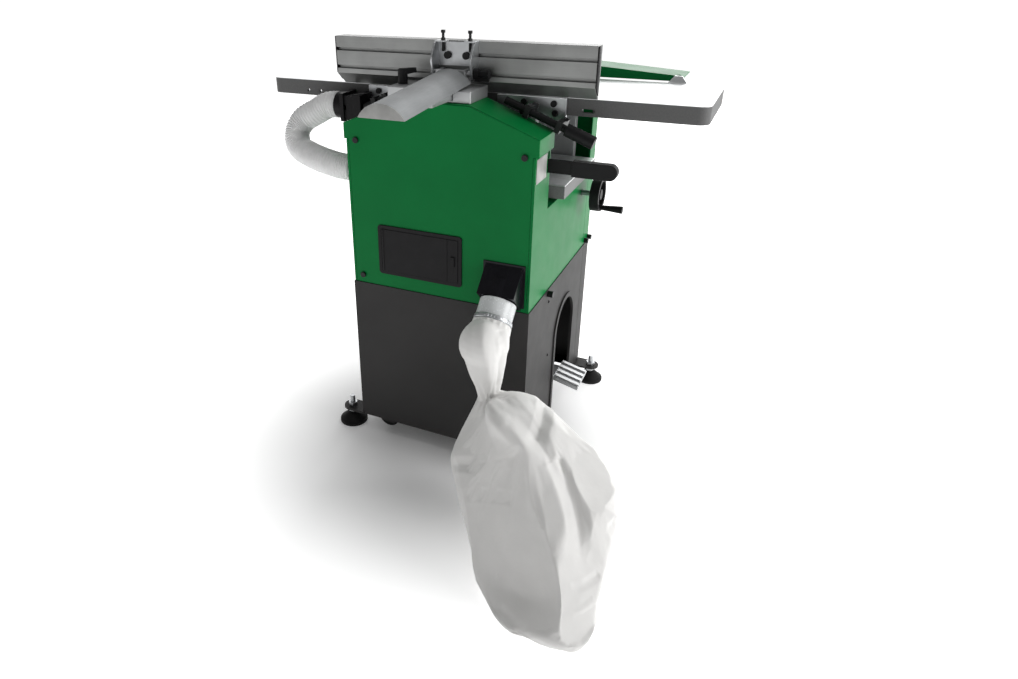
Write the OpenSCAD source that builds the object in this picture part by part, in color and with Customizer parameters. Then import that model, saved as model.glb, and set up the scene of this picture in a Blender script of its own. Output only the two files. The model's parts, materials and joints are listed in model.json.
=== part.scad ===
// Combination planer thicknesser with a chip fan and a dust bag.
// X runs along the tables, Y runs from the fence side to the operator's side, Z is up from the floor.

/* [Cabinet] */
// Width of the green upper cabinet, along the tables
cab_w = 458; // [420:2:500]
// Room for the belt between the tables and the operator's panel
belt_room = 92; // [86:1:104]
// Height of the lower edge of the base above the floor
base_z = 45; // [36:1:56]
// Height of the line where the green cabinet meets the grey base
split_z = 448; // [430:2:452]
// Thickness of the base's sheet steel
base_wall = 3; // [2:0.5:4]
// Thickness of the upper cabinet's sheet steel
sheet = 2; // [1.5:0.5:3]
// How far the base stands out past the green sheet on each side
base_lip = 2; // [1:0.5:3]
// Depth of the operator's side panels around the corner
panel_d = 54; // [50:1:56]

/* [Pedal arch] */
// Width of the arch in the base's end
arch_w = 160; // [150:2:170]
// Height of the arch's crown above the floor
arch_top = 350; // [330:2:370]
// Distance of the arch's middle from the fence-side face
arch_y = 313; // [305:1:321]
// Width of the raised rim around the arch
rim_w = 14; // [8:1:18]

/* [Feet] */
// Distance of each foot from the middle of the cabinet, along the tables
foot_x = 275; // [272:1:282]
// Distance of each foot's centre from the nearer face of the cabinet
foot_inset = 18; // [16:1:24]
// Diameter of a foot's rubber pad
pad_d = 76; // [60:1:80]
// Diameter of a foot's threaded stud
stud_d = 14; // [12:1:16]
// Thickness of the plate that carries a foot
foot_plate = 6; // [4:1:8]

/* [Drive housing] */
// Depth of the housing on the fence side
drive_d = 102; // [98:1:104]
// Height of the eaves below the table top
eave_drop = 64; // [60:1:70]
// Rise of the roof from the eaves to its flat ridge
roof_rise = 58; // [52:1:59]
// Width of the roof's flat ridge
ridge_w = 158; // [140:2:180]
// Height of the roof's end lips
lip_h = 36; // [24:1:44]
// How far the roof's end lips stand off the cabinet's ends
lip_gap = 4; // [2:0.5:5]

/* [Tables] */
// Height of the table top above the floor
table_z = 906; // [890:1:920]
// Length over both tables
table_len = 1080; // [1020:2:1140]
// Width of the tables
table_w = 282; // [280:1:286]
// Distance of the tables' edge from the fence-side face
table_y = 150; // [148:1:154]
// Height of the tables' edge
table_edge = 38; // [34:1:42]
// Radius of the tables' outer corners
table_round = 24; // [16:1:30]
// Thickness of the tables' plate
table_plate = 12; // [10:1:14]
// Gap between the tables over the cutterblock
mouth = 48; // [46:1:54]
// Thickness of the tables' skirts
skirt = 8; // [6:1:9]

/* [Cutterblock] */
// Diameter of the circle that the knife edges cut
cut_d = 72; // [70:1:74]
// Diameter of the cutterblock's body
block_d = 66; // [60:1:68]
// How much shorter than the tables' width the knives are
knife_short = 22; // [20:1:32]
// Diameter of the cutterblock's journals
journal_d = 20; // [18:1:24]
// Outer diameter of the cutterblock's bearings
bearing_d = 47; // [44:1:50]
// Width of a bearing
bearing_w = 14; // [12:1:16]
// Thickness of the cast side plates
plate_t = 24; // [22:1:26]

/* [Feed rollers] */
// Diameter of a feed roller
roller_d = 34; // [30:1:35]
// Distance of each roller from the cutterblock's axis
roller_x = 70; // [66:1:76]
// How far the rollers reach below the cutting circle
roller_drop = 1.5; // [0.5:0.25:2]
// Diameter of a roller's end pins
roller_pin = 16; // [12:1:18]
// Number of kickback fingers
finger_n = 18; // [12:1:20]

/* [Thicknesser bed] */
// Length of the bed
bed_len = 504; // [480:2:516]
// How much narrower than the tables the bed is
bed_narrow = 6; // [4:1:16]
// Thickness of the bed
bed_t = 32; // [28:1:34]
// Height of the opening between the knives and the bed as it stands
cut_h = 126; // [122:1:128]
// Diameter of the guide column
column_d = 60; // [50:1:64]
// Diameter of the lift screw
screw_d = 20; // [16:1:22]

/* [Handwheel and levers] */
// Diameter of the handwheel
wheel_d = 88; // [80:1:92]
// Diameter of the handwheel's shaft
wheel_shaft = 14; // [12:1:16]
// How far the handwheel's axis lies inside the tables' operator-side edge
wheel_in = 20; // [16:1:30]
// Height of the feed lever's bar
lever_h = 30; // [24:1:32]
// Reach of the feed lever past the cabinet's end
lever_reach = 152; // [130:2:170]

/* [Fence] */
// Length of the fence
fence_len = 624; // [580:2:680]
// Height of the fence above the table
fence_h = 111; // [108:1:124]
// Thickness of the fence
fence_t = 37.6; // [36:0.2:42]
// Distance of the fence's rear face from the fence-side face
fence_y = 112; // [111:1:113]
// Height of the chamfer along the fence's rear foot
chamfer = 27; // [24:1:30]
// Travel of the fence across the tables
fence_travel = 100; // [80:2:100]
// Width of the rear cutter guard
guard_w = 100; // [96:1:106]
// Length of the rear cutter guard
guard_len = 304; // [280:2:310]
// Height of the cutter guards' arch
guard_h = 29; // [24:1:30]

/* [Chip outlet and bag] */
// Width of the outlet chute
chute_w = 88; // [82:1:92]
// Outer diameter of the chute's round spigot
spigot_d = 78; // [72:1:80]
// Wall of the clear collar
collar_t = 3; // [2:0.5:4]
// Reach of the bag in front of the fence-side face
bag_out = 440; // [430:1:450]

/* [Suction hose] */
// Outer diameter of the hose over its ribs
hose_d = 64; // [60:1:66]
// Depth of the hose's ribs
rib_h = 2.4; // [1:0.1:3]
// Wall of the hose under its ribs
hose_wall = 2; // [1.5:0.1:3]
// Number of ribs on the hose
rib_n = 43; // [20:1:60]

/* [Clearances] */
// Radial clearance of a shaft in its bore
run_fit = 0.05; // [0.03:0.01:0.08]
// Gap between faces that slide past each other
slip = 0.4; // [0.3:0.05:0.8]

/* [Hidden] */
$fn = 48;
hw = cab_w / 2;
cab_d = table_y + table_w + belt_room;
knife_len = table_w - knife_short;
bed_w = table_w - bed_narrow;
bhw = hw + base_lip;
seam_y = cab_d - panel_d;
far_out = cab_d - foot_inset + pad_d / 2;
near_y = (bag_out - far_out) / 2;
eave_z = table_z - eave_drop;
ridge_z = eave_z + roof_rise;
roof_top = ridge_z + sheet;
table_far = table_y + table_w;
table_mid = table_y + table_w / 2;
wheel_y = table_far - wheel_in;
axis_z = table_z - cut_d / 2;
knife_y0 = table_mid - knife_len / 2;
knife_y1 = table_mid + knife_len / 2;
near_plate_y = table_y - 20 - plate_t;
bed_y = table_y + 3;
far_plate_y = max(table_far, bed_y + bed_w + 3) + 8;
plate_hw = 190;
lug_x = 92;
drop_max = 3;
roller_z = table_z - cut_d - roller_drop + roller_d / 2;
finger_x = 130;
finger_z = table_z - 48;
bed_z = table_z - cut_d - cut_h;
bed_under = bed_z - bed_t;
tunnel_z = bed_under - 9;
column_y = table_mid;
screw_x = 120;
wheel_z = tunnel_z - 49;
wheel_x = hw + 30;
wheel_w = 24;
crank_r = wheel_d / 2 - 9;
motor_x = -118;
motor_z = split_z + 97;
motor_r = 68;
fan_r = 90;
fan_y = 58;
belt_y = seam_y + 12;
belt_w = 20;
motor_pulley_r = 45;
cutter_pulley_r = 18;
lever_x = hw - 110;
lever_z = table_z - 137;
lever_y = drive_d - 12;
fence_z = table_z + 1;
fence_front = fence_y + fence_t;
slide_x = 4;
rail_z = roof_top;
rail_h = 26;
rail_top = rail_z + rail_h;
tilt_y = 88;
tilt_z = rail_top + 25;
cheek_x = 46;
guard_pin_y = 60;
guard_pin_z = rail_top + 18;
guard_foot = 11;
guard_droop = 4.3;
hinge_x0 = 86;
hinge_x1 = 246;
hinge_y = table_y - 8 - slip;
lock_z = table_z - 50;
lock_y = 92;
lock_tilt = 21;
lock_len = 130;
bridge_y = fence_front + fence_travel + 22;
bridge_z = table_z + 3;
arm_y = table_far + 14;
arm_x = 432;
arm_pin_z = table_z + 8;
head_z = bridge_z + guard_h + slip;
flap_x0 = -155;
flap_x1 = 64;
flap_z0 = split_z + 35;
flap_z1 = split_z + 160;
chute_x = 168;
chute_z = split_z + 63;
chute_tilt = 45;
pedal_x = 60;
pedal_z = base_z + 75;
lift_wheel_x = 165;
lift_wheel_d = 70;
castor_x = -167;
castor_d = 60;
switch_x = -120;
switch_z = 720;
box_y = cab_d + 12;
hose_sides = 8;
hose_rings = 2 * rib_n + 1;
hose_from = [-(hw + 84), drive_d + 10, table_z - 48];
hose_to = [-(hw + 16), drive_d / 2, table_z - 184];
hose_route = [
    hose_from, hose_from - [34, 0, 4], hose_from - [67, 4, 22], hose_from - [101, 10, 41],
    hose_from - [116, 19, 64], hose_from - [115, 30, 88], hose_from - [98, 41, 108],
    hose_to - [131, -10, -18], hose_to - [99, -3, -12], hose_to - [66, 0, -6], hose_to - [30, 0, -1], hose_to
];

green = "#0d6b36";
grey = "#4a4a4a";
black = "#18181a";
silver = "#b9bbbd";
steel = "#8d9094";

// Turns the fence-side face into the frame, where the whole machine is centred.
module stand() {
    translate([0, near_y, 0]) children();
}

// Box between two corners.
module span(low, high) {
    translate(low) cube(high - low);
}

// Cylinder along X.
module rod_x(r, x0, x1, y, z) {
    translate([x0, y, z]) rotate([0, 90, 0]) cylinder(r = r, h = x1 - x0);
}

// Cylinder along Y.
module rod_y(r, y0, y1, x, z) {
    translate([x, y0, z]) rotate([-90, 0, 0]) cylinder(r = r, h = y1 - y0);
}

// Outline in X and Z, pushed out along Y.
module slab_xz(points, y0, y1) {
    translate([0, y1, 0]) rotate([90, 0, 0]) linear_extrude(y1 - y0) polygon(points);
}

// Outline in Y and Z, pushed out along X.
module slab_yz(points, x0, x1) {
    translate([x0, 0, 0]) rotate([90, 0, 90]) linear_extrude(x1 - x0) polygon(points);
}

// Same piece on both sides of the cutterblock.
module both_ends() {
    children();
    mirror([1, 0, 0]) children();
}

// The gable outline of the housings, from the eaves up.
function gable(w, drop) = [
    [-w, eave_z - drop], [w, eave_z - drop], [w, eave_z], [ridge_w / 2, ridge_z],
    [-ridge_w / 2, ridge_z], [-w, eave_z]
];

// Arch outline in Y and Z with its foot on a given height.
module arch_outline(w, foot, top) {
    translate([arch_y, top - w / 2]) circle(d = w);
    translate([arch_y - w / 2, foot]) square([w, top - w / 2 - foot]);
}

module arch_solid(w, foot, top, x0, x1) {
    translate([x0, 0, 0]) rotate([90, 0, 90]) linear_extrude(x1 - x0) arch_outline(w, foot, top);
}

// Places something at each of the four feet.
module at_feet() {
    for (x = [-foot_x, foot_x], y = [foot_inset, cab_d - foot_inset]) translate([x, y, 0]) children();
}

module foot_tab() {
    difference() {
        union() {
            span([0, -24, base_z], [foot_x - bhw + base_wall, 24, base_z + foot_plate]);
            translate([foot_x - bhw + base_wall, 0, base_z]) cylinder(d = 48, h = foot_plate);
        }
        translate([foot_x - bhw + base_wall, 0, base_z - 1])
            cylinder(d = stud_d + 1, h = foot_plate + 2);
    }
}

// Fork under the base that carries one fixed castor.
module castor_fork(y) {
    for (side = [-1, 1]) {
        span([castor_x - 20, y + side * 13 - 2, base_z - 26],
            [castor_x + 20, y + side * 13 + 2, base_z + 1]);
        span([-bhw + 1, y + side * 13 - 2, base_z], [castor_x + 20, y + side * 13 + 2, base_z + 4]);
    }
    rod_y(4, y - 15, y + 15, castor_x, castor_d / 2 + 4);
}

module base_cabinet() {
    color(grey) union() {
        difference() {
            span([-bhw, -base_lip, base_z], [bhw, seam_y - 1, split_z]);
            span([-bhw + base_wall, base_wall - base_lip, base_z - 1],
                [bhw - base_wall, seam_y, split_z - 4]);
            arch_solid(arch_w, base_z - 1, arch_top, bhw - base_wall - 1, bhw + 1);
        }
        difference() {
            arch_solid(arch_w + 2 * rim_w, base_z, arch_top + rim_w, bhw - 1, bhw + 4);
            arch_solid(arch_w, base_z - 1, arch_top, bhw - 2, bhw + 5);
        }
        span([-bhw + base_wall, seam_y - 1, split_z - 4],
            [bhw - base_wall, cab_d - base_wall - slip, split_z]);
        span([-bhw + 1, 0, base_z], [-bhw + 26, cab_d - base_wall - slip, base_z + 4]);
        span([-bhw + 1, 0, base_z], [bhw - 1, 24, base_z + 4]);
        span([bhw - 26, 0, base_z], [bhw - 1, arch_y - arch_w / 2 - 4, base_z + 4]);
        span([bhw - 26, arch_y + arch_w / 2 + 4, base_z],
            [bhw - 1, cab_d - base_wall - slip, base_z + 4]);
        for (x = [-1, 1], y = [foot_inset, cab_d - foot_inset]) {
            translate([0, y, 0]) rotate([0, 0, x > 0 ? 0 : 180])
                translate([bhw - base_wall, 0, 0]) foot_tab();
        }
        castor_fork(38);
        castor_fork(cab_d - 38);
        pedal_bearer();
    }
}

// Cross strip and ears that carry the pedal lever.
module pedal_bearer() {
    span([pedal_x - 30, 20, base_z], [pedal_x + 30, cab_d - base_wall - slip, base_z + 6]);
    for (y = [arch_y - 44, arch_y + 38]) {
        span([pedal_x - 18, y, base_z + 5], [pedal_x + 18, y + 6, pedal_z + 18]);
    }
    rod_y(8, arch_y - 44, arch_y + 44, pedal_x, pedal_z);
    span([-bhw + 25, cab_d - base_wall - slip - 24, base_z],
        [bhw - 25, cab_d - base_wall - slip, base_z + 4]);
}

module base_front_panel() {
    color(grey) difference() {
        span([-bhw, seam_y, base_z + foot_plate + slip], [bhw, cab_d, split_z]);
        span([-bhw + base_wall, seam_y - 1, base_z - 1],
            [bhw - base_wall, cab_d - base_wall, split_z + 1]);
    }
}

module foot_studs() {
    color(silver) at_feet() {
        translate([0, 0, 14]) cylinder(d = stud_d, h = base_z + 22);
        translate([0, 0, base_z - 12]) cylinder(d = stud_d * 1.9, h = 12, $fn = 6);
        translate([0, 0, base_z + foot_plate]) cylinder(d = stud_d * 1.9, h = 10, $fn = 6);
    }
}

module foot_pads() {
    color(black) at_feet() difference() {
        union() {
            cylinder(d = pad_d, h = 9);
            translate([0, 0, 9]) cylinder(d1 = pad_d - 6, d2 = stud_d * 2.2, h = 20);
        }
        translate([0, 0, 14]) cylinder(d = stud_d, h = 20);
    }
}

module upper_cabinet() {
    color(green) difference() {
        union() {
            both_ends() {
                slab_yz([
                    [sheet, split_z], [seam_y - 1, split_z], [seam_y - 1, tunnel_z],
                    [drive_d, tunnel_z],
                    [drive_d, eave_z - 1], [sheet, eave_z - 1]
                ], hw - sheet, hw);
                span([hw - 6, 0, split_z], [hw, sheet, eave_z - lip_h - 1]);
            }
            span([-hw + 1, drive_d - sheet, split_z], [hw - 1, drive_d, eave_z - 2]);
            span([-hw + 1, drive_d - 1, tunnel_z - 4], [hw - 1, seam_y - 1, tunnel_z]);
            rod_y(6, lever_y - 8, drive_d - 1, lever_x, lever_z);
        }
        span([hw - 10, lever_y - 6, lever_z - lever_h / 2 - 1], [hw + 1, lever_y + 6, lever_z + 34]);
        rod_x(hose_d / 2 - 3, -hw - 1, -hw + 6, hose_to[1], hose_to[2]);
        rod_y(20, drive_d - 6, drive_d + 4, motor_x, motor_z);
        translate([0, column_y, tunnel_z - 10]) cylinder(d = column_d + 20, h = 20);
        translate([screw_x, wheel_y, tunnel_z - 10]) cylinder(d = screw_d + 12, h = 20);
        rod_x(wheel_shaft / 2 + 2, hw - 8, hw + 1, wheel_y, wheel_z);
    }
}

module drive_cover() {
    color(green) difference() {
        union() {
            slab_xz(gable(hw + lip_gap + sheet, lip_h), 0, sheet);
            span([-hw + 6.5, 0, split_z + slip], [hw - 6.5, sheet, eave_z - lip_h + 1]);
        }
        span([flap_x0 + 5, -1, flap_z0 + 5], [flap_x1 - 5, sheet + 1, flap_z1 - 5]);
        span([chute_x - chute_w / 2 + 4, -1, chute_z - 42],
            [chute_x + chute_w / 2 - 4, sheet + 1, chute_z + 42]);
    }
}

module drive_roof() {
    w = hw + lip_gap;
    color(green) slab_xz([
        [-w - sheet, eave_z - lip_h], [-w - sheet, eave_z + sheet / 2], [-ridge_w / 2, roof_top],
        [ridge_w / 2, roof_top], [w + sheet, eave_z + sheet / 2], [w + sheet, eave_z - lip_h],
        [w, eave_z - lip_h],
        [w, eave_z - sheet / 2], [ridge_w / 2 - 0.4, ridge_z], [-ridge_w / 2 + 0.4, ridge_z],
        [-w, eave_z - sheet / 2], [-w, eave_z - lip_h]
    ], sheet, drive_d + 2);
}

module upper_front_panel() {
    color(green) difference() {
        union() {
            span([-hw, seam_y, split_z + slip], [hw, cab_d, eave_z]);
            slab_xz(gable(hw, 1), seam_y, cab_d);
        }
        span([-hw + sheet, seam_y - 1, split_z - 1], [hw - sheet, cab_d - sheet, eave_z - sheet]);
        slab_xz([
            [-hw + sheet, eave_z - sheet - 1], [hw - sheet, eave_z - sheet - 1],
            [ridge_w / 2 - 1, ridge_z - sheet],
            [-ridge_w / 2 + 1, ridge_z - sheet]
        ], seam_y - 1, cab_d - sheet);
    }
}

// Screw head that stands out of the fence-side face.
module face_screw(x, z, y) {
    rod_y(7, y - 5, y, x, z);
}

module cover_screws() {
    color(black) {
        for (x = [-hw + 26, hw - 24]) {
            face_screw(x, eave_z - 37, 0);
        }
        face_screw(-hw + 26, split_z + 21, 0);
        both_ends() {
            rod_x(8, bhw, bhw + 14, 142, split_z - 10);
            for (y = [seam_y + 12, cab_d - 8]) {
                rod_x(7, hw, hw + 12, y, split_z + 10);
            }
            for (x = [150, 218]) {
                face_screw(x, table_z - 14, hinge_y);
            }
        }
        face_screw(222, table_z - 34, hinge_y);
    }
}

module flap_frame() {
    color(black) difference() {
        span([flap_x0, -3, flap_z0], [flap_x1, 0, flap_z1]);
        span([flap_x0 + 9, -4, flap_z0 + 9], [flap_x1 - 9, 1, flap_z1 - 9]);
    }
}

module flap_door() {
    x0 = flap_x0 + 9 + slip;
    x1 = flap_x1 - 9 - slip;
    color(black) {
        difference() {
            span([x0 + 4, -4, flap_z0 + 9 + slip], [x1, -1, flap_z1 - 9 - slip]);
            span([x1 - 27, -5, flap_z0], [x1 - 25, -3, flap_z1]);
        }
        translate([x0 + 4, -3, flap_z0 + 9 + slip])
            cylinder(r = 3, h = flap_z1 - flap_z0 - 18 - 2 * slip);
        span([x1 - 18, -7, (flap_z0 + flap_z1) / 2 - 12], [x1 - 8, -3.5, (flap_z0 + flap_z1) / 2 + 12]);
    }
}

// Frame on the chute's axis, which leans down and out of the fence-side face.
module on_chute() {
    translate([chute_x, 0, chute_z]) rotate([90 + chute_tilt, 0, 0]) children();
}

module outlet_chute() {
    color(black) difference() {
        union() {
            span([chute_x - chute_w / 2 - 6, -3, chute_z - 52],
                [chute_x + chute_w / 2 + 6, 0, chute_z + 52]);
            on_chute() translate([-chute_w / 2, -36, -40]) cube([chute_w, 72, 84]);
            on_chute() cylinder(d = spigot_d, h = 104);
        }
        on_chute() translate([-chute_w / 2 + 4, -32, -60]) cube([chute_w - 8, 64, 101]);
        on_chute() translate([0, 0, 30]) cylinder(d = spigot_d - 6, h = 90);
        span([chute_x - 80, 0, chute_z - 120], [chute_x + 80, 120, chute_z + 120]);
    }
}

module outlet_collar() {
    color("white") on_chute() translate([0, 0, 46]) difference() {
        cylinder(d = spigot_d + 2 * run_fit + 2 * collar_t, h = 54);
        translate([0, 0, -1]) cylinder(d = spigot_d + 2 * run_fit, h = 60);
    }
}

module hose_clamp() {
    collar_r = spigot_d / 2 + run_fit + collar_t;
    color(silver) on_chute() translate([0, 0, 86]) {
        difference() {
            cylinder(r = collar_r + 1.6, h = 10);
            translate([0, 0, -1]) cylinder(r = collar_r + run_fit, h = 12);
        }
        translate([-11, -collar_r - 9, -1]) cube([22, 8, 12]);
        translate([-17, -collar_r - 5, 5]) rotate([0, 90, 0]) cylinder(d = 8, h = 34);
    }
}

// Round corner of the bag, which touches the floor when its centre stands at bag_rest(r).
module bag_lobe(x, y, z, r) {
    translate([x, y, z]) sphere(r = r, $fn = 24);
}

function bag_rest(r) = r * cos(7.5);

module chip_bag() {
    mouth_r = spigot_d / 2 + collar_t;
    color("white") difference() {
        union() {
            hull() {
                on_chute() translate([0, 0, 100]) cylinder(r = mouth_r, h = 8, $fn = 32);
                bag_lobe(chute_x - 2, -110, chute_z - 100, 56);
            }
            hull() {
                bag_lobe(chute_x - 1.3, -109, chute_z - 101, 53);
                bag_lobe(182, -122, 281, 26);
            }
            hull() {
                bag_lobe(182.4, -123, 279, 29);
                bag_lobe(279, -163, 261, 72);
                bag_lobe(199, -165, 153, 79);
                bag_lobe(407, -215, 158, 100);
                bag_lobe(439, -266, 122, 80);
                bag_lobe(305, bag_rest(60) - bag_out + 40, bag_rest(60), 60);
                bag_lobe(385, bag_rest(34) - bag_out, bag_rest(34), 34);
                bag_lobe(486, bag_rest(25) - bag_out, bag_rest(25), 25);
            }
        }
        on_chute() translate([-100, -100, 0]) cube([200, 200, 104.5]);
    }
}

// Cast plate across the end of the tunnel, with the bearing housing on top.
module side_plate(y, lug_y0, lug_y1) {
    difference() {
        union() {
            span([-plate_hw, y, tunnel_z], [plate_hw, y + plate_t, axis_z - 4]);
            rod_y(bearing_d / 2 + 8, y, y + plate_t, 0, axis_z);
            span([lug_x, lug_y0, axis_z - 20], [lug_x + 28, lug_y1, table_z - table_edge]);
            span([-lug_x - 28, lug_y0, axis_z - 20],
                [-lug_x, lug_y1, table_z - table_edge - drop_max - slip]);
        }
        rod_y(bearing_d / 2, y + 5, y + 5 + bearing_w, 0, axis_z);
        rod_y(journal_d / 2 + 2, y - 1, y + plate_t + 1, 0, axis_z);
        for (x = [-roller_x, roller_x]) {
            rod_y(roller_pin / 2 + run_fit, y - 1, y + plate_t + 1, x, roller_z);
        }
        rod_y(5 + run_fit, y - 1, y + plate_t + 1, finger_x, finger_z);
    }
}

module side_plates() {
    color(steel) {
        side_plate(near_plate_y, near_plate_y, table_y + skirt);
        side_plate(far_plate_y, table_far - skirt, far_plate_y + plate_t);
    }
}

module cutter_bearings() {
    color(silver) for (y = [near_plate_y, far_plate_y]) {
        difference() {
            rod_y(bearing_d / 2, y + 5, y + 5 + bearing_w, 0, axis_z);
            rod_y(journal_d / 2 + run_fit, y + 4, y + 6 + bearing_w, 0, axis_z);
        }
    }
}

// Flanged belt pulley on a shaft along Y.
module pulley(r, x, z) {
    rod_y(r, belt_y - 6, belt_y + belt_w + 6, x, z);
    rod_y(r + 5, belt_y - 6, belt_y - 1, x, z);
    rod_y(r + 5, belt_y + belt_w + 1, belt_y + belt_w + 6, x, z);
}

module at_knives() {
    for (a = [30, 150, 270]) {
        translate([0, 0, axis_z]) rotate([0, a, 0]) children();
    }
}

module cutterblock() {
    color(steel) difference() {
        union() {
            rod_y(block_d / 2, knife_y0 + 1, knife_y1 - 1, 0, axis_z);
            rod_y(journal_d / 2, near_plate_y + 4, belt_y + belt_w + 8, 0, axis_z);
            pulley(cutter_pulley_r, 0, axis_z);
        }
        at_knives() translate([-5, knife_y0, 20]) cube([10, knife_len, 30]);
    }
}

module planer_knives() {
    color(silver) at_knives() {
        translate([-5, knife_y0 + 1, 20]) cube([3, knife_len - 2, cut_d / 2 - 20.4]);
        translate([-1.9, knife_y0 + 1, 20]) cube([6.9, knife_len - 2, block_d / 2 - 22.5]);
    }
}

module motor() {
    color(black) difference() {
        union() {
            rod_y(motor_r, drive_d + 40, belt_y - 40, motor_x, motor_z);
            rod_y(motor_r - 14, drive_d, drive_d + 41, motor_x, motor_z);
            span([motor_x - 56, drive_d + 70, split_z],
                [motor_x + 56, belt_y - 90, motor_z - motor_r + 12]);
            span([motor_x - 34, drive_d + 110, motor_z + motor_r - 12],
                [motor_x + 34, drive_d + 200, motor_z + motor_r + 8]);
        }
        rod_y(12 + run_fit, drive_d - 1, belt_y, motor_x, motor_z);
    }
}

module motor_shaft() {
    color(silver) {
        rod_y(12, fan_y + 4, belt_y + belt_w + 8, motor_x, motor_z);
        pulley(motor_pulley_r, motor_x, motor_z);
    }
}

module fan_impeller() {
    color(steel) difference() {
        union() {
            rod_y(76, drive_d - 14, drive_d - 11, motor_x, motor_z);
            rod_y(20, fan_y + 8, drive_d - 11, motor_x, motor_z);
            for (i = [0:7]) {
                translate([motor_x, fan_y + 8, motor_z]) rotate([0, 45 * i, 0])
                    translate([18, 0, -1.5]) cube([58, drive_d - fan_y - 20, 3]);
            }
        }
        rod_y(12, fan_y, drive_d, motor_x, motor_z);
    }
}

module fan_housing() {
    back = drive_d - 4;
    top = hose_to[2] + hose_d / 2;
    color(steel) difference() {
        union() {
            rod_y(fan_r, fan_y, back, motor_x, motor_z);
            span([motor_x, fan_y, motor_z - fan_r], [chute_x + 40, back, motor_z - fan_r + 90]);
            span([chute_x - 40, sheet, chute_z - 46], [chute_x + 40, back, chute_z + 46]);
            span([motor_x - 44, 12, motor_z - 44], [motor_x + 44, fan_y + 2, top]);
            rod_x(hose_d / 2 - 3.2, hose_to[0], motor_x, hose_to[1], hose_to[2]);
        }
        rod_y(fan_r - 2, fan_y + 2, back - 2, motor_x, motor_z);
        span([motor_x, fan_y + 2, motor_z - fan_r + 2], [chute_x + 38, back - 2, motor_z - fan_r + 88]);
        span([chute_x - 38, -1, chute_z - 44], [chute_x + 38, back - 2, chute_z + 44]);
        span([motor_x - 42, 14, motor_z - 42], [motor_x + 42, fan_y, top - 2]);
        rod_y(40, fan_y - 3, fan_y + 5, motor_x, motor_z);
        rod_y(15, back - 4, back + 4, motor_x, motor_z);
        rod_x(hose_d / 2 - 5.2, hose_to[0] - 1, motor_x, hose_to[1], hose_to[2]);
    }
}

// Loop around both pulleys, at a distance from their rims.
module belt_outline(gap) {
    hull() {
        translate([0, axis_z]) circle(r = cutter_pulley_r + gap);
        translate([motor_x, motor_z]) circle(r = motor_pulley_r + gap);
    }
}

module drive_belt() {
    color(black) translate([0, belt_y + belt_w, 0]) rotate([90, 0, 0]) linear_extrude(belt_w)
        difference() {
        belt_outline(4 + slip);
        belt_outline(slip);
    }
}

module feed_roller(x) {
    rod_y(roller_d / 2, table_y + skirt + 2, table_far - skirt - 2, x, roller_z);
    rod_y(roller_pin / 2, near_plate_y + 2, far_plate_y + plate_t - 2, x, roller_z);
}

module front_roller() {
    color(steel) difference() {
        feed_roller(roller_x);
        for (a = [0:15:345]) {
            translate([roller_x, table_y + skirt + 1, roller_z]) rotate([0, a, 0])
                translate([roller_d / 2 - 1, 0, -0.6]) cube([2, table_w - 2 * skirt - 2, 1.2]);
        }
    }
}

module rear_roller() {
    color(black) feed_roller(-roller_x);
}

module kickback_fingers() {
    pitch = (knife_len - 6) / finger_n;
    color(steel) {
        rod_y(5, near_plate_y + 2, far_plate_y + plate_t - 2, finger_x, finger_z);
        for (i = [0:finger_n - 1]) {
            slab_xz([
                [finger_x - 7, finger_z + 7], [finger_x + 7, finger_z + 7],
                [finger_x + 3, finger_z - 20],
                [finger_x - 10, finger_z - 26]
            ], knife_y0 + 3 + i * pitch, knife_y0 + 3 + (i + 0.7) * pitch);
        }
    }
}

// Plan of one table, with its two outer corners rounded.
module table_plan(x0, x1) {
    r = table_round;
    translate([x0, table_y]) square([x1 - r - x0, table_w]);
    translate([x0, table_y + r]) square([x1 - x0, table_w - 2 * r]);
    for (y = [table_y + r, table_far - r]) {
        translate([x1 - r, y]) circle(r = r);
    }
}

// One table, on the outfeed side of the cutterblock.
module table() {
    x0 = mouth / 2;
    x1 = table_len / 2;
    low = table_z - table_edge;
    under = table_z - table_plate;
    difference() {
        translate([0, 0, low]) linear_extrude(table_edge) table_plan(x0, x1);
        span([x0 - 1, table_y + skirt, low - 1], [x1 - 2 * skirt, table_far - skirt, under]);
        slab_xz([[x0 - 1, table_z - 4], [x0, table_z - 4], [x0 + 16, under - 1], [x0 - 1, under - 1]],
            table_y + skirt, table_far - skirt);
    }
    for (x = [150, 300, 420]) {
        span([x, table_y + 1, low + 8], [x + 6, table_far - 1, table_z - 1]);
    }
}

// Hole through the fence side of a table.
module skirt_hole(x) {
    rod_y(4, table_y - 1, table_y + skirt + 1, x, table_z - 26);
}

module infeed_table() {
    color(grey) mirror([1, 0, 0]) difference() {
        table();
        skirt_hole(hw + 164);
        skirt_hole(hw + 200);
    }
}

module outfeed_table() {
    color(grey) {
        difference() {
            table();
            skirt_hole(hw + 54);
            skirt_hole(hw + 74);
            span([hw + 54, table_y - 1, table_z - 30], [hw + 74, table_y + skirt + 1, table_z - 22]);
        }
        span([arm_x - 22, table_far - 1, table_z - 30], [arm_x + 22, arm_y - 4, table_z + 1]);
        rod_y(5, arm_y - 5, arm_y + 12, arm_x, arm_pin_z);
        slab_xz([
            [arm_x - 22, table_z], [arm_x + 22, table_z], [arm_x + 9, arm_pin_z + 8],
            [arm_x - 9, arm_pin_z + 8]
        ], table_far + 2, arm_y - 4);
    }
}

// Places something on the line of the right-hand lock rod, pointing down and out.
module on_lock() {
    translate([hinge_x1, lock_y, lock_z]) rotate([0, 90 + lock_tilt, 0]) children();
}

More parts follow.
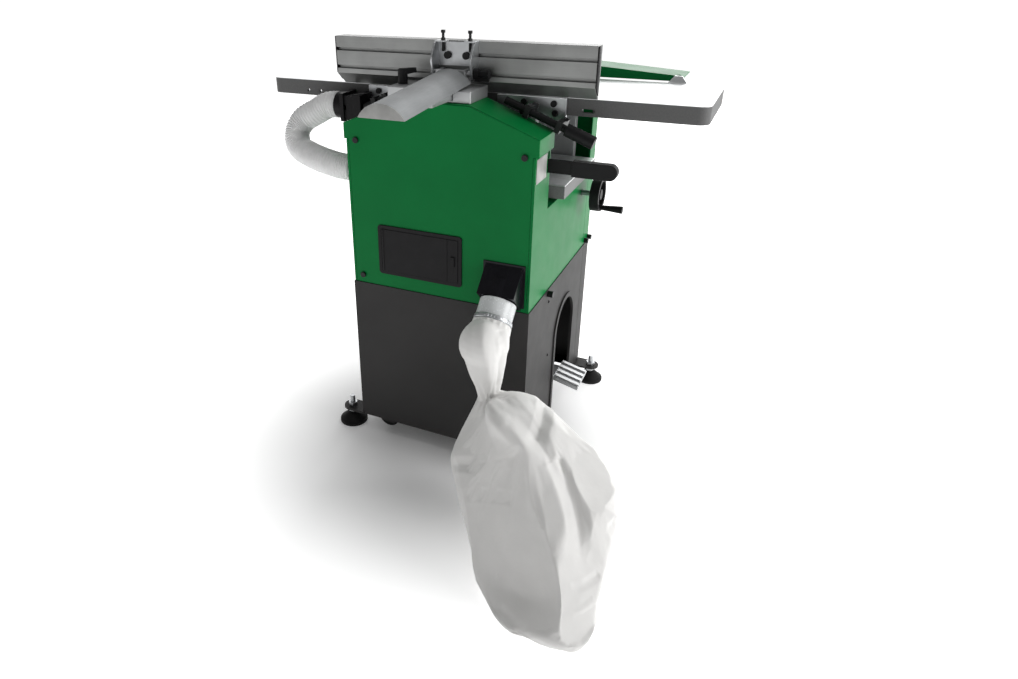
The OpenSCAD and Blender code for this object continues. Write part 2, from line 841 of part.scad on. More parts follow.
// Eye on a hinge plate that guides a lock rod.
module lock_eye(along) {
    difference() {
        union() {
            on_lock() translate([-13, -13, along]) cube([26, 26, 12]);
            on_lock() translate([-9, 12, along]) cube([18, hinge_y - lock_y - 11, 12]);
        }
        on_lock() translate([0, 0, along - 1]) cylinder(r = 8 + run_fit, h = 14);
    }
}

// Plate behind a table's edge, clear of the kickback fingers' shaft, with a spacer to the side plate.
module hinge_plate(low) {
    step_x = finger_x + 12;
    slab_xz([
        [hinge_x0, table_z - 2], [hinge_x1, table_z - 2], [hinge_x1, low], [step_x, low],
        [step_x, table_z - 36], [hinge_x0, table_z - 36]
    ], hinge_y, hinge_y + 8);
    span([plate_hw - 46, near_plate_y + plate_t, axis_z - 18],
        [plate_hw - 28, hinge_y + 1, axis_z + 8]);
}

module hinge_plates() {
    color(silver) {
        hinge_plate(lock_z - 10);
        lock_eye(-4);
        lock_eye(-80);
        mirror([1, 0, 0]) {
            hinge_plate(table_z - 40);
            lock_eye(-58);
            lock_eye(-90);
        }
    }
}

module lock_rod() {
    color(black) {
        on_lock() translate([0, 0, -lock_len]) cylinder(r = 8, h = lock_len + 19);
        on_lock() translate([0, 0, 18]) cylinder(r = 14, h = 66);
    }
}

module stay_rod() {
    color(black) mirror([1, 0, 0]) on_lock() translate([0, 0, -lock_len])
        cylinder(r = 8, h = lock_len - 18);
}

module thicknesser_bed() {
    y0 = bed_y;
    y1 = bed_y + bed_w;
    color(silver) difference() {
        span([-bed_len / 2, y0, bed_under], [bed_len / 2, y1, bed_z]);
        span([-bed_len / 2 + 10, y0 + 10, bed_under - 1], [-column_d / 2 - 20, y1 - 10, bed_z - 12]);
        span([screw_x + 24, y0 + 10, bed_under - 1], [bed_len / 2 - 10, y1 - 10, bed_z - 12]);
    }
}

module bed_column() {
    color(steel) translate([0, column_y, split_z + 32])
        cylinder(d = column_d, h = bed_under - split_z - 32);
}

module lift_screw() {
    color(steel) translate([screw_x, wheel_y, split_z + 22])
        cylinder(d = screw_d, h = bed_under - split_z - 22);
}

module column_sleeve() {
    color(steel) difference() {
        union() {
            translate([0, column_y, split_z + 52])
                cylinder(d = column_d + 24, h = tunnel_z - 4 - split_z - 52);
            translate([0, column_y, tunnel_z - 14]) cylinder(d = column_d + 60, h = 10);
        }
        translate([0, column_y, split_z]) cylinder(d = column_d + 2 * run_fit, h = tunnel_z);
    }
}

module lift_bracket() {
    color(steel) difference() {
        union() {
            span([screw_x - 34, wheel_y - 32, wheel_z - 34], [hw - sheet, wheel_y + 32, wheel_z - 22]);
            span([hw - 30, wheel_y - 20, wheel_z - 30], [hw - sheet, wheel_y + 20, wheel_z + 18]);
        }
        translate([screw_x, wheel_y, wheel_z - 40]) cylinder(r = 16 + run_fit, h = 30);
        rod_x(wheel_shaft / 2 + run_fit, hw - 40, hw + 4, wheel_y, wheel_z);
    }
}

module lift_nut() {
    color("#b08d3c") translate([screw_x, wheel_y, wheel_z]) difference() {
        union() {
            translate([0, 0, -40]) cylinder(r = 16, h = 19);
            translate([0, 0, -22 + slip]) cylinder(r = 29, h = 10 - slip);
            translate([0, 0, -13]) cylinder(r = 14, h = 26);
        }
        translate([0, 0, -50]) cylinder(r = screw_d / 2 + run_fit, h = 80);
    }
}

module handwheel_shaft() {
    color(steel) {
        rod_x(wheel_shaft / 2, screw_x + 17, wheel_x + wheel_w - 6, wheel_y, wheel_z);
        rod_x(12 - slip, screw_x + 16, screw_x + 28, wheel_y, wheel_z);
    }
}

module handwheel() {
    color(black) difference() {
        union() {
            difference() {
                rod_x(wheel_d / 2, wheel_x, wheel_x + wheel_w, wheel_y, wheel_z);
                rod_x(wheel_d / 2 - 9, wheel_x + 10, wheel_x + wheel_w + 1, wheel_y, wheel_z);
                rod_x(wheel_d / 2 - 9, wheel_x - 1, wheel_x + 4, wheel_y, wheel_z);
                for (a = [90, 210, 330]) {
                    translate([wheel_x, wheel_y, wheel_z]) rotate([a, 0, 0])
                        translate([3, 24, 0]) rotate([0, 90, 0]) cylinder(r = 8, h = 8);
                }
            }
            rod_x(14, wheel_x - 6, wheel_x + wheel_w - 2, wheel_y, wheel_z);
            rod_x(8, wheel_x + 4, wheel_x + wheel_w + 2, wheel_y, wheel_z - crank_r);
            rod_x(4, wheel_x + 4, wheel_x + wheel_w + 52, wheel_y, wheel_z - crank_r);
        }
        rod_x(wheel_shaft / 2, wheel_x - 7, wheel_x + wheel_w - 6, wheel_y, wheel_z);
    }
}

module crank_handle() {
    color(black) translate([wheel_x + wheel_w + 2 + slip, wheel_y, wheel_z - crank_r])
        rotate([0, 90, 0]) difference() {
        cylinder(r1 = 6.5, r2 = 10, h = 54);
        translate([0, 0, -1]) cylinder(r = 4 + run_fit, h = 51.5);
    }
}

module feed_lever() {
    reach = hw + lever_reach;
    color(black) difference() {
        union() {
            span([lever_x, lever_y - 3, lever_z - lever_h / 2],
                [reach - 90, lever_y + 3, lever_z + lever_h / 2]);
            rod_y(lever_h / 2, lever_y - 3, lever_y + 3, lever_x, lever_z);
            span([reach - 98, lever_y - 10, lever_z - 17], [reach - 17, lever_y + 10, lever_z + 17]);
            rod_y(17, lever_y - 10, lever_y + 10, reach - 17, lever_z);
        }
        rod_y(6 + run_fit, lever_y - 4, lever_y + 4, lever_x, lever_z);
    }
}

module fence_base() {
    color(silver) difference() {
        span([-122, 12, rail_z], [76, 110, rail_top]);
        span([slide_x - 30 - slip, 11, rail_z + 6 - slip],
            [slide_x + 30 + slip, 111, rail_top - 5 + slip]);
        span([slide_x - 18 - slip, 11, rail_top - 6], [slide_x + 18 + slip, 111, rail_top + 1]);
    }
}

// Slide bar, foot and upright of the fence, with the tilt pin.
module fence_slide() {
    color(silver) difference() {
        union() {
            span([slide_x - 30, -84, rail_z + 6], [slide_x + 30, 106, rail_top - 5]);
            span([slide_x - 18, 68, rail_top - 6], [slide_x + 18, 106, rail_top + 6]);
            span([slide_x - 34, 68, rail_top + slip], [slide_x + 34, 106, rail_top + 7]);
            span([slide_x - 34, 68, rail_top + slip], [slide_x + 34, 80, tilt_z + 8]);
            for (side = [-1, 1]) {
                span([slide_x + side * 30 - 4, 68, rail_top + slip],
                    [slide_x + side * 30 + 4, 102, tilt_z + 8]);
            }
            rod_x(6, slide_x - cheek_x - 8, slide_x + cheek_x + 24, tilt_y, tilt_z);
            for (side = [-1, 1]) {
                span([slide_x + side * 10 - 3, guard_pin_y - 6, guard_pin_z - 6],
                    [slide_x + side * 10 + 3, 69, guard_pin_z + 6]);
            }
            rod_x(3, slide_x - 24, slide_x + 24, guard_pin_y, guard_pin_z);
        }
        rod_y(7, 74, 81, slide_x, tilt_z - 4);
    }
}

module fence() {
    x = fence_len / 2;
    zt = table_z + fence_h;
    color(silver) difference() {
        slab_yz([
            [fence_front, fence_z], [fence_front, zt], [fence_y, zt], [fence_y, fence_z + chamfer],
            [fence_y + chamfer + 3, fence_z]
        ], -x, x);
        for (z = [fence_z + 38, fence_z + 78]) {
            span([-x - 1, fence_y - 1, z], [x + 1, fence_y + 7, z + 7]);
            span([-x - 1, fence_y + 4, z - 3], [x + 1, fence_y + 9, z + 10]);
        }
    }
}

// Plate on the fence's back with two cheeks that turn on the tilt pin and two stop tabs.
module tilt_bracket() {
    top = table_z + fence_h;
    color(silver) difference() {
        union() {
            span([slide_x - cheek_x, fence_y - 6, tilt_z + 12], [slide_x + cheek_x, fence_y, top - 2]);
            for (side = [-1, 1]) {
                x = slide_x + side * cheek_x;
                slab_yz([
                    [fence_y, top], [fence_y - 26, top - 4], [fence_y - 40, top - 24],
                    [fence_y - 44, tilt_z + 24],
                    [tilt_y - 14, tilt_z + 4], [tilt_y - 8, tilt_z - 12], [tilt_y + 10, tilt_z - 12],
                    [fence_y, tilt_z]
                ], x - 2, x + 2);
                span([x - 2 - (side > 0 ? 22 : 0), fence_y - 20, top - 2],
                    [x + 2 + (side < 0 ? 22 : 0), fence_y, top + 1]);
            }
        }
        rod_x(6 + run_fit, slide_x - cheek_x - 5, slide_x + cheek_x + 5, tilt_y, tilt_z);
        for (side = [-1, 1]) {
            translate([slide_x + side * (cheek_x - 14), fence_y - 10, top - 20])
                cylinder(r = 3, h = 30);
        }
    }
}

module stop_screws() {
    top = table_z + fence_h;
    color(black) {
        for (side = [-1, 1]) {
            translate([slide_x + side * (cheek_x - 14), fence_y - 10, top - 22])
                cylinder(r = 3, h = 44);
            translate([slide_x + side * (cheek_x - 14), fence_y - 10, top + 1])
                cylinder(r = 5.5, h = 5, $fn = 6);
            translate([slide_x + side * (cheek_x - 14), fence_y - 10, top + 16]) cylinder(r = 5, h = 6);
            rod_y(8, fence_y - 12, fence_y - 6, slide_x + side * 22, tilt_z + 34);
        }
    }
}

// Arched cover profile along Y, open underneath.
module arch_profile(w, h, length, wall) {
    r = (w * w / 4 + h * h) / (2 * h);
    rotate([-90, 0, 0]) linear_extrude(length) difference() {
        intersection() {
            translate([0, r - h]) circle(r = r, $fn = 96);
            translate([-w / 2, -h - 1]) square([w, h + 1]);
        }
        intersection() {
            translate([0, r - h + wall]) circle(r = r, $fn = 96);
            translate([-w / 2 + 2 * wall, -h - 1]) square([w - 4 * wall, h + 1 - wall]);
        }
    }
}

module rear_guard() {
    color(silver) translate([slide_x, guard_pin_y, guard_pin_z]) rotate([guard_droop, 0, 0])
        difference() {
        union() {
            translate([0, 5 - guard_len, -guard_foot]) arch_profile(guard_w, guard_h, guard_len, 3);
            for (side = [-1, 1]) {
                span([side * 20 - 3, -7, -6], [side * 20 + 3, 5, 14]);
            }
        }
        rod_x(3 + run_fit, -30, 30, 0, 0);
    }
}

module fence_lock_lever() {
    color(black) {
        translate([-106, 56, rail_top + slip]) cylinder(r = 11, h = 30);
        hull() {
            translate([-106, 56, rail_top + 20]) cylinder(r = 9, h = 12, $fn = 32);
            translate([-82, 66, rail_top + 24]) cylinder(r = 5, h = 10, $fn = 32);
        }
    }
}

module tilt_knob() {
    x0 = slide_x + cheek_x + 2 + slip;
    color(black) difference() {
        union() {
            rod_x(11, x0, x0 + 12, tilt_y, tilt_z);
            translate([x0 + 12, tilt_y, tilt_z]) rotate([0, 90, 0]) cylinder(r1 = 8, r2 = 10, h = 24);
            span([x0 + 2, tilt_y - 4, tilt_z - 15], [x0 + 34, tilt_y + 4, tilt_z]);
        }
        rod_x(6 + run_fit, x0 - 1, x0 + 24, tilt_y, tilt_z);
    }
}

// Green arm on the operator's side that carries the bridge guard over the knives.
module guard_arm() {
    low = table_z + 2;
    far = far_out - 2;
    color(green) difference() {
        union() {
            slab_xz([
                [arm_x + 12, low], [arm_x + 12, arm_pin_z + 6], [64, head_z + 8], [-64, head_z + 8],
                [-64, low], [-60, low],
                [-60, head_z], [60, head_z], [64, low]
            ], arm_y, arm_y + 3);
            slab_xz([
                [arm_x + 12, arm_pin_z + 6], [64, head_z + 8], [-64, head_z + 8], [-64, head_z + 5],
                [64, head_z + 5],
                [arm_x + 12, arm_pin_z + 3]
            ], arm_y, far);
            rod_y(10, arm_y, arm_y + 14, arm_x, arm_pin_z);
            translate([0, arm_y + 46, head_z + 7]) cylinder(r = 12, h = 4);
        }
        rod_y(5 + run_fit, arm_y - 1, arm_y + 13, arm_x, arm_pin_z);
    }
}

module bridge_guard() {
    color(silver) translate([0, bridge_y, bridge_z]) arch_profile(110, guard_h, far_out - bridge_y, 3);
}

module chip_hood() {
    low = table_z - cut_d + 2;
    high = table_z - table_edge - 6;
    x1 = -roller_x - roller_d / 2 - 14;
    y0 = table_y + skirt + 4;
    y1 = table_far - skirt - 4;
    c = hose_from;
    color(black) difference() {
        union() {
            span([-hw + 2, y0, low], [x1, y1, high]);
            span([-hw - 24, drive_d + 3, low], [-plate_hw - 4, y0 + 8, high]);
            span([-hw - 30, c[1] - 29, c[2] - 31], [-hw - 8, c[1] + 29, c[2] + 31]);
            span([-hw - 54, c[1] - 27, c[2] - 27], [-hw - 30, c[1] + 27, c[2] + 27]);
            span([-hw - 64, c[1] - 32, c[2] - 33], [-hw - 54, c[1] + 32, c[2] + 33]);
            rod_x(hose_d / 2 - 0.5, c[0], -hw - 60, c[1], c[2]);
        }
        span([-hw + 4, y0 + 2, low + 2], [x1 + 1, y1 - 2, high - 2]);
        span([-hw - 22, drive_d + 5, low + 2], [-plate_hw - 6, y0 + 10, high - 2]);
        span([-hw - 62, c[1] - 24, c[2] - 24], [-hw - 10, c[1] + 24, c[2] + 24]);
        rod_x(hose_d / 2 - rib_h - hose_wall, c[0] - 1, -hw - 50, c[1], c[2]);
    }
}

// Smooth line through the hose's points.
function mix4(a, b, c, d, t) =
    ((2 * b) + (c - a) * t + (2 * a - 5 * b + 4 * c - d) * t * t + (3 * b - a - 3 * c + d) * t * t * t) / 2;
function on_route(p, u) =
    let (n = len(p) - 1, i = min(floor(u * n), n - 1), t = u * n - i)
    mix4(p[max(i - 1, 0)], p[i], p[i + 1], p[min(i + 2, n)], t);
function unit(v) = v / norm(v);
function heading(p, u) =
    u < 0.001 ? [-1, 0, 0]
    : u > 0.999 ? [1, 0, 0]
    : unit(on_route(p, u + 0.001) - on_route(p, u - 0.001));
function hose_ring(u, r) =
    let (c = on_route(hose_route, u), t = heading(hose_route, u),
        s = unit(cross(t, cross([0, 1, 0], t))), n = cross(t, s))
    [for (k = [0:hose_sides - 1]) c + r * (cos(360 * k / hose_sides) * s + sin(360 * k / hose_sides) * n)];

module suction_hose() {
    outer = hose_d / 2;
    bore = outer - rib_h - hose_wall;
    last = hose_rings - 1;
    m = hose_sides;
    skin = [for (i = [0:last])
        each hose_ring(i / last, i % 2 == 0 || i == last ? outer - rib_h : outer)];
    lining = [for (i = [0:last]) each hose_ring(i / last, bore)];
    inner = hose_rings * m;
    walls = [for (i = [0:last - 1], k = [0:m - 1]) let (a = i * m + k, b = i * m + (k + 1) % m)
        each [[a, a + m, b + m], [a, b + m, b], [inner + a, inner + b + m, inner + a + m],
        [inner + a, inner + b, inner + b + m]]];
    ends = [for (k = [0:m - 1]) let (b = (k + 1) % m, e = last * m)
        each [[k, b, inner + b], [k, inner + b, inner + k], [e + k, inner + e + b, e + b],
        [e + k, inner + e + k, inner + e + b]]];
    gaps = [for (i = [0:4:last], j = [i + 40:4:last])
        norm(on_route(hose_route, i / last) - on_route(hose_route, j / last)) - hose_d];
    echo(least_gap_between_hose_runs = min(gaps));
    color("white") polyhedron(concat(skin, lining), concat(walls, ends));
}

// Pedal arm on its pivot, with the ribbed tread outside the arch and the wheel's fork under the arm.
module pedal_lever() {
    tread_x = bhw - 8;
    color(silver) difference() {
        union() {
            rod_y(18, arch_y - 36, arch_y + 36, pedal_x, pedal_z);
            span([pedal_x, arch_y - 20, pedal_z - 10], [tread_x + 14, arch_y + 20, pedal_z + 8]);
            for (side = [-1, 1]) {
                span([lift_wheel_x - 14, arch_y + side * 17.5 - 2.5, 34],
                    [lift_wheel_x + 14, arch_y + side * 17.5 + 2.5, pedal_z]);
            }
            rod_y(5, arch_y - 20, arch_y + 20, lift_wheel_x, lift_wheel_d / 2 + 5);
            translate([tread_x, arch_y - 48, pedal_z]) rotate([0, 14, 0]) {
                cube([74, 96, 10]);
                for (i = [0:3]) {
                    translate([2, 5 + 25 * i, 9]) cube([70, 11, 6]);
                }
            }
        }
        rod_y(8 + run_fit, arch_y - 40, arch_y + 40, pedal_x, pedal_z);
    }
}

// Wheel with a bore, on an axle along Y.
module castor(d, w, bore, x, y, z) {
    difference() {
        rod_y(d / 2, y - w / 2, y + w / 2, x, z);
        rod_y(bore / 2 + run_fit, y - w, y + w, x, z);
    }
}

module lift_wheel() {
    color(black) castor(lift_wheel_d, 28, 10, lift_wheel_x, arch_y, lift_wheel_d / 2 + 5);
}

module castor_wheels() {
    color(black) for (y = [38, cab_d - 38]) {
        castor(castor_d, 20, 8, castor_x, y, castor_d / 2 + 4);
    }
}

module switch_box() {
    color(black) difference() {
        span([switch_x - 32, cab_d, switch_z - 55], [switch_x + 32, box_y, switch_z + 55]);
        rod_y(11 + run_fit, box_y - 6, box_y + 1, switch_x, switch_z + 26);
        rod_y(14 + run_fit, box_y - 6, box_y + 1, switch_x, switch_z - 20);
    }
}

module start_button() {
    color(green) rod_y(11, box_y - 2, box_y + 4, switch_x, switch_z + 26);
}

module stop_button() {
    color("red") rod_y(14, box_y - 2, box_y + 7, switch_x, switch_z - 20);
}

stand() base_cabinet();
stand() base_front_panel();
stand() foot_studs();
stand() foot_pads();
stand() upper_cabinet();
stand() drive_cover();
stand() drive_roof();
stand() upper_front_panel();
stand() cover_screws();
stand() flap_frame();
stand() flap_door();
stand() outlet_chute();
stand() outlet_collar();
stand() hose_clamp();
stand() chip_bag();
stand() side_plates();
stand() cutter_bearings();
stand() cutterblock();
stand() planer_knives();
stand() motor();
stand() motor_shaft();
stand() fan_impeller();
stand() fan_housing();
stand() drive_belt();
stand() front_roller();
stand() rear_roller();
stand() kickback_fingers();
stand() infeed_table();
stand() outfeed_table();
stand() hinge_plates();
stand() lock_rod();
stand() stay_rod();
stand() thicknesser_bed();
stand() bed_column();
stand() lift_screw();
stand() column_sleeve();
stand() lift_bracket();
stand() lift_nut();
stand() handwheel_shaft();
stand() handwheel();
stand() crank_handle();
stand() feed_lever();
stand() fence_base();
stand() fence_slide();
stand() fence();
stand() tilt_bracket();
stand() stop_screws();
stand() rear_guard();
stand() fence_lock_lever();
stand() tilt_knob();
stand() guard_arm();
stand() bridge_guard();
stand() chip_hood();
stand() suction_hose();
stand() pedal_lever();
stand() lift_wheel();
stand() castor_wheels();
stand() switch_box();
stand() start_button();
stand() stop_button();
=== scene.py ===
# %% [markdown]
# # A planer thicknesser with its chip bag
#
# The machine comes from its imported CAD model, where every piece is a node at its
# real size in metres. This lesson gives each node its paint, plastic or metal,
# rounds the edges that catch the light, adds the small fittings, and makes the two
# soft pieces, the suction hose and the cloth bag, as what they are.

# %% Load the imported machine
import json
import math

import bmesh
import bpy
from mathutils import Matrix, Vector, kdtree, noise


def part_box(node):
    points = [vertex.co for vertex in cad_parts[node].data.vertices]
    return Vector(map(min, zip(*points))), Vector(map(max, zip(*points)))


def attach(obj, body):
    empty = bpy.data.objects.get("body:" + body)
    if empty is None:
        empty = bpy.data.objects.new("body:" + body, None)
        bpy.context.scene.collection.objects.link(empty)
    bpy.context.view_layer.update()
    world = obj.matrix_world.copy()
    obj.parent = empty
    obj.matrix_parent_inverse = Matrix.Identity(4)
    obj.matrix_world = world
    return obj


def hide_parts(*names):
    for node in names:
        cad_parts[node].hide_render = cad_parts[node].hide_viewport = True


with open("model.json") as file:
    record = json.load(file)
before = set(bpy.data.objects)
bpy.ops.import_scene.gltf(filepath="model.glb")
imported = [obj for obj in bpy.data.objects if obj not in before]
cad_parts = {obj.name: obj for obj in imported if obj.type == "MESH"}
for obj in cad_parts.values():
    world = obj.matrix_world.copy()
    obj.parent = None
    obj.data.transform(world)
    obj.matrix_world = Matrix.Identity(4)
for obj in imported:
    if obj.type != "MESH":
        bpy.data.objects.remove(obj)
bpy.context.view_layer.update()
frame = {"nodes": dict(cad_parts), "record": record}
nodes = frame["nodes"]
body_of_node = {}
for body_name, members in frame["record"]["behaviour"]["bodies"].items():
    for member in members:
        body_of_node[member] = body_name

# %% [markdown]
# ## Camera
#
# The photograph was taken from the fence side, above the tables and to the right.
# The camera's place was solved from corners of the machine, so it is typed in
# here. The lens shift is the part of the framing that turning the camera can't
# give. Places below are in millimetres from the cabinet's fence-side face, which
# stands 52 mm in front of the frame's middle, so one function turns them to metres.

# %% Camera at the photograph's angle
NEAR_Y = -0.052
PHOTO_WIDTH = 1018.0
FOCAL_PX = 705.7
SENSOR_MM = 36.0
ROLL_DEGREES = -0.51


def mm(x, y, z):
    """A place on the machine, in millimetres from the fence-side face and the floor."""
    return Vector((x / 1000, y / 1000 + NEAR_Y, z / 1000))


camera = bpy.data.objects.new("camera", bpy.data.cameras.new("camera"))
bpy.context.scene.collection.objects.link(camera)
camera_place = mm(664, -1375, 1178)
aim = (mm(-109, 250, 317) - camera_place).to_track_quat("-Z", "Y").to_matrix().to_4x4()
roll = Matrix.Rotation(math.radians(ROLL_DEGREES), 4, "Z")
camera.matrix_world = Matrix.Translation(camera_place) @ aim @ roll
camera.data.sensor_width = SENSOR_MM
camera.data.lens = FOCAL_PX / PHOTO_WIDTH * SENSOR_MM
camera.data.shift_x = 0.0667
camera.data.shift_y = -0.0424
camera.data.clip_end = 120
bpy.context.scene.camera = camera
print("lens", round(camera.data.lens, 2), "mm")

# %% [markdown]
# ## Colours, nodes and pieces
#
# Paint and plastic are named by the sRGB colour that the eye would pick, and one
# function turns that to the linear values that shaders use. Another adds a shader
# node with its settings, its inputs and, on a colour ramp, its stops, so that each
# material below reads as a list of what its surface is made of. A third one turns
# a finished bmesh into a piece that rides on one of the machine's bodies.

# %% Helpers for colours and shader nodes
def linear(hex_code, lift=1.0):
    parts = [int(hex_code[i:i + 2], 16) / 255 for i in (1, 3, 5)]
    parts = [p / 12.92 if p <= 0.04045 else ((p + 0.055) / 1.055) ** 2.4 for p in parts]
    return [min(1.0, p * lift) for p in parts] + [1.0]


def add(tree, kind, inputs=None, stops=(), **settings):
    made = tree.nodes.new("ShaderNode" + kind)
    for name, value in settings.items():
        setattr(made, name, value)
    for element, (position, colour) in zip(made.color_ramp.elements if stops else (), stops):
        element.position = position
        element.color = colour
    for name, value in (inputs or {}).items():
        socket = made.inputs[name]
        if isinstance(value, bpy.types.NodeSocket):
            tree.links.new(value, socket)
        else:
            socket.default_value = value
    return made


def start(name, **values):
    """A new material: its tree, its main shader and the object's own coordinates in metres."""
    material = bpy.data.materials.new(name)
    material.use_nodes = True
    tree = material.node_tree
    shader = tree.nodes["Principled BSDF"]
    for socket, value in values.items():
        shader.inputs[socket.replace("_", " ")].default_value = value
    return material, tree, shader, add(tree, "TexCoord").outputs["Object"]


def per_mm(size):
    """Noise scale for features of that size in millimetres."""
    return 1000.0 / size


print("white in linear values", linear("#ffffff"))

# %% Helper for pieces
def as_piece(name, shape, material, body, sharp=40.0):
    mesh = bpy.data.meshes.new(name)
    shape.to_mesh(mesh)
    shape.free()
    mesh.materials.clear()
    mesh.materials.append(material)
    mesh.polygons.foreach_set("use_smooth", [True] * len(mesh.polygons))
    mesh.set_sharp_from_angle(angle=math.radians(sharp))
    piece = bpy.data.objects.new(name, mesh)
    bpy.context.scene.collection.objects.link(piece)
    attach(piece, body)
    return piece


# %% [markdown]
# ## The suction hose
#
# The hose is a ribbed tube of soft PVC that leaves the chip hood, hangs round in a
# tight bow and goes into the cabinet's end. Soft PVC is milky: it lets part of the
# light through, and its ribs shine. The tube's line is a smooth curve through the
# points of the CAD source. A ring is drawn at each rib's foot, flank and crest, and
# the rings are bridged one after another, outside and inside, so it has a wall.

# %% Hose line
hose_points = [mm(*p) for p in (
    (-313, 112, 858), (-347, 112, 854), (-380, 108, 836), (-414, 102, 817),
    (-429, 93, 794), (-428, 82, 770), (-411, 71, 750), (-376, 61, 740),
    (-344, 54, 734), (-311, 51, 728), (-275, 51, 723), (-245, 51, 722))]


def on_line(points, u):
    """Point on the smooth curve through the points, u from 0 to 1."""
    last = len(points) - 1
    i = min(int(u * last), last - 1)
    t = u * last - i
    a, b, c, d = (points[min(max(k, 0), last)] for k in (i - 1, i, i + 1, i + 2))
    square = 2 * a - 5 * b + 4 * c - d
    cube = 3 * b - a - 3 * c + d
    return (2 * b + (c - a) * t + square * t ** 2 + cube * t ** 3) / 2


# %% Hose tube
HOSE_RADIUS = 0.032
RIB_DEPTH = 0.0026
HOSE_WALL = 0.0016
HOSE_RIBS = 54
HOSE_SIDES = 44
INSIDE_RINGS = 60
# How deep the tube is, as a share of the rib, at a rib's foot, flank, crest and flank.
RIB_FORM = (1.0, 0.42, 0.0, 0.42)


def hose_ring(shape, u, radius):
    here = on_line(hose_points, u)
    front, back = on_line(hose_points, min(u + 0.002, 1)), on_line(hose_points, max(u - 0.002, 0))
    ahead = (front - back).normalized()
    if u < 0.001 or u > 0.999:
        ahead = Vector((-1 if u < 0.5 else 1, 0, 0))
    side = ahead.cross(Vector((0, 1, 0))).normalized()
    turned = Matrix((side, side.cross(ahead), ahead)).transposed().to_4x4()
    seat = Matrix.Translation(here) @ turned
    ring = bmesh.ops.create_circle(shape, segments=HOSE_SIDES, radius=radius, matrix=seat)
    return list({e for v in ring["verts"] for e in v.link_edges})


def bridge(shape, rings):
    """Join rings of edges one after another with a skin of faces."""
    for a, b in zip(rings, rings[1:]):
        bmesh.ops.bridge_loops(shape, edges=a + b)


shape = bmesh.new()
rib_steps = len(RIB_FORM) * HOSE_RIBS
outside = [hose_ring(shape, k / rib_steps, HOSE_RADIUS - RIB_DEPTH * RIB_FORM[k % len(RIB_FORM)])
           for k in range(rib_steps + 1)]
inside = [hose_ring(shape, k / INSIDE_RINGS, HOSE_RADIUS - RIB_DEPTH - HOSE_WALL)
          for k in range(INSIDE_RINGS + 1)]
for rings in (outside, inside, (outside[0], inside[0]), (outside[-1], inside[-1])):
    bridge(shape, rings)
bmesh.ops.recalc_face_normals(shape, faces=shape.faces)
print("hose faces", len(shape.faces))

# %% Milky PVC, and the hose tube as a piece
def soft_pvc(name, hex_code, cloud_mm, roughness, through, milk):
    # Extruded or dipped vinyl: an uneven skin over a milky body that spreads the light inside.
    material, tree, shader, place = start(name, IOR=1.45, Transmission_Weight=through, Subsurface_Weight=milk,
                                          Subsurface_Scale=0.004, Subsurface_Radius=(1, 1, 1),
                                          Specular_IOR_Level=0.4)
    cloud = add(tree, "TexNoise", {"Vector": place, "Scale": per_mm(cloud_mm), "Detail": 3.0})
    tone = add(tree, "ValToRGB", {"Fac": cloud.outputs[0]},
               [(0.3, linear(hex_code, 0.86)), (0.72, linear(hex_code, 1.08))])
    tree.links.new(tone.outputs["Color"], shader.inputs["Base Color"])
    skin = add(tree, "TexNoise", {"Vector": place, "Scale": per_mm(4), "Detail": 2.0})
    rough = add(tree, "MapRange", {"Value": skin.outputs[0], "To Min": roughness - 0.05,
                                   "To Max": roughness + 0.08})
    tree.links.new(rough.outputs["Result"], shader.inputs["Roughness"])
    bump = add(tree, "Bump", {"Height": skin.outputs[0], "Strength": 0.2, "Distance": 0.0001})
    tree.links.new(bump.outputs["Normal"], shader.inputs["Normal"])
    return material


HOSE_PVC = soft_pvc("pvc_milky_extruded", "#ffffff", 26, 0.34, 0.14, 0.5)
hose = as_piece("suction_hose_tube", shape, HOSE_PVC, "frame", sharp=80)
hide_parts("suction_hose")
# The diameter is the tube's own, under its ribs: that is what bends, and a cord has to be at
# least six diameters long, which this short hose isn't when measured over its ribs.
print("hose triangles", sum(len(f.vertices) - 2 for f in hose.data.polygons))

# %% [markdown]
# ## Light and floor
#
# A pale floor and large soft lamps stand for the studio. The cabinet's right end is
# the brightest side in the photograph and its fence side lies in half light, so the
# main lamp stands right and a little behind. The floor gives off some light itself,
# painted light that keeps it white out to the edge of the picture, as a lit paper sweep is.
# The glow is weakest round the machine, which is painted shade on the floor near it.

# %% Lamps
def lamp(name, place, target, size, watts):
    light = bpy.data.lights.new(name, "AREA")
    light.shape = "DISK"
    light.size = size
    light.energy = watts
    item = bpy.data.objects.new(name, light)
    bpy.context.scene.collection.objects.link(item)
    item.location = place
    item.rotation_mode = "QUATERNION"
    item.rotation_quaternion = (Vector(target) - Vector(place)).to_track_quat("-Z", "Y")


lamp("key_right", (3.3, 0.5, 1.7), (0.2, 0.0, 0.5), 1.8, 70)
lamp("back_sweep", (0.6, 5.0, 2.6), (0.0, 0.4, 0.7), 4.6, 150)
lamp("back_left", (-3.4, 3.6, 2.0), (-0.3, 0.1, 0.8), 3.6, 62)
lamp("top_soft", (0.3, 0.8, 3.4), (0.0, 0.0, 0.4), 2.8, 22)
world = bpy.data.worlds.new("studio")
world.use_nodes = True
world.node_tree.nodes["Background"].inputs["Color"].default_value = (1, 1, 1, 1)
world.node_tree.nodes["Background"].inputs["Strength"].default_value = 0.24
bpy.context.scene.world = world
bpy.context.scene.view_settings.view_transform = "Standard"

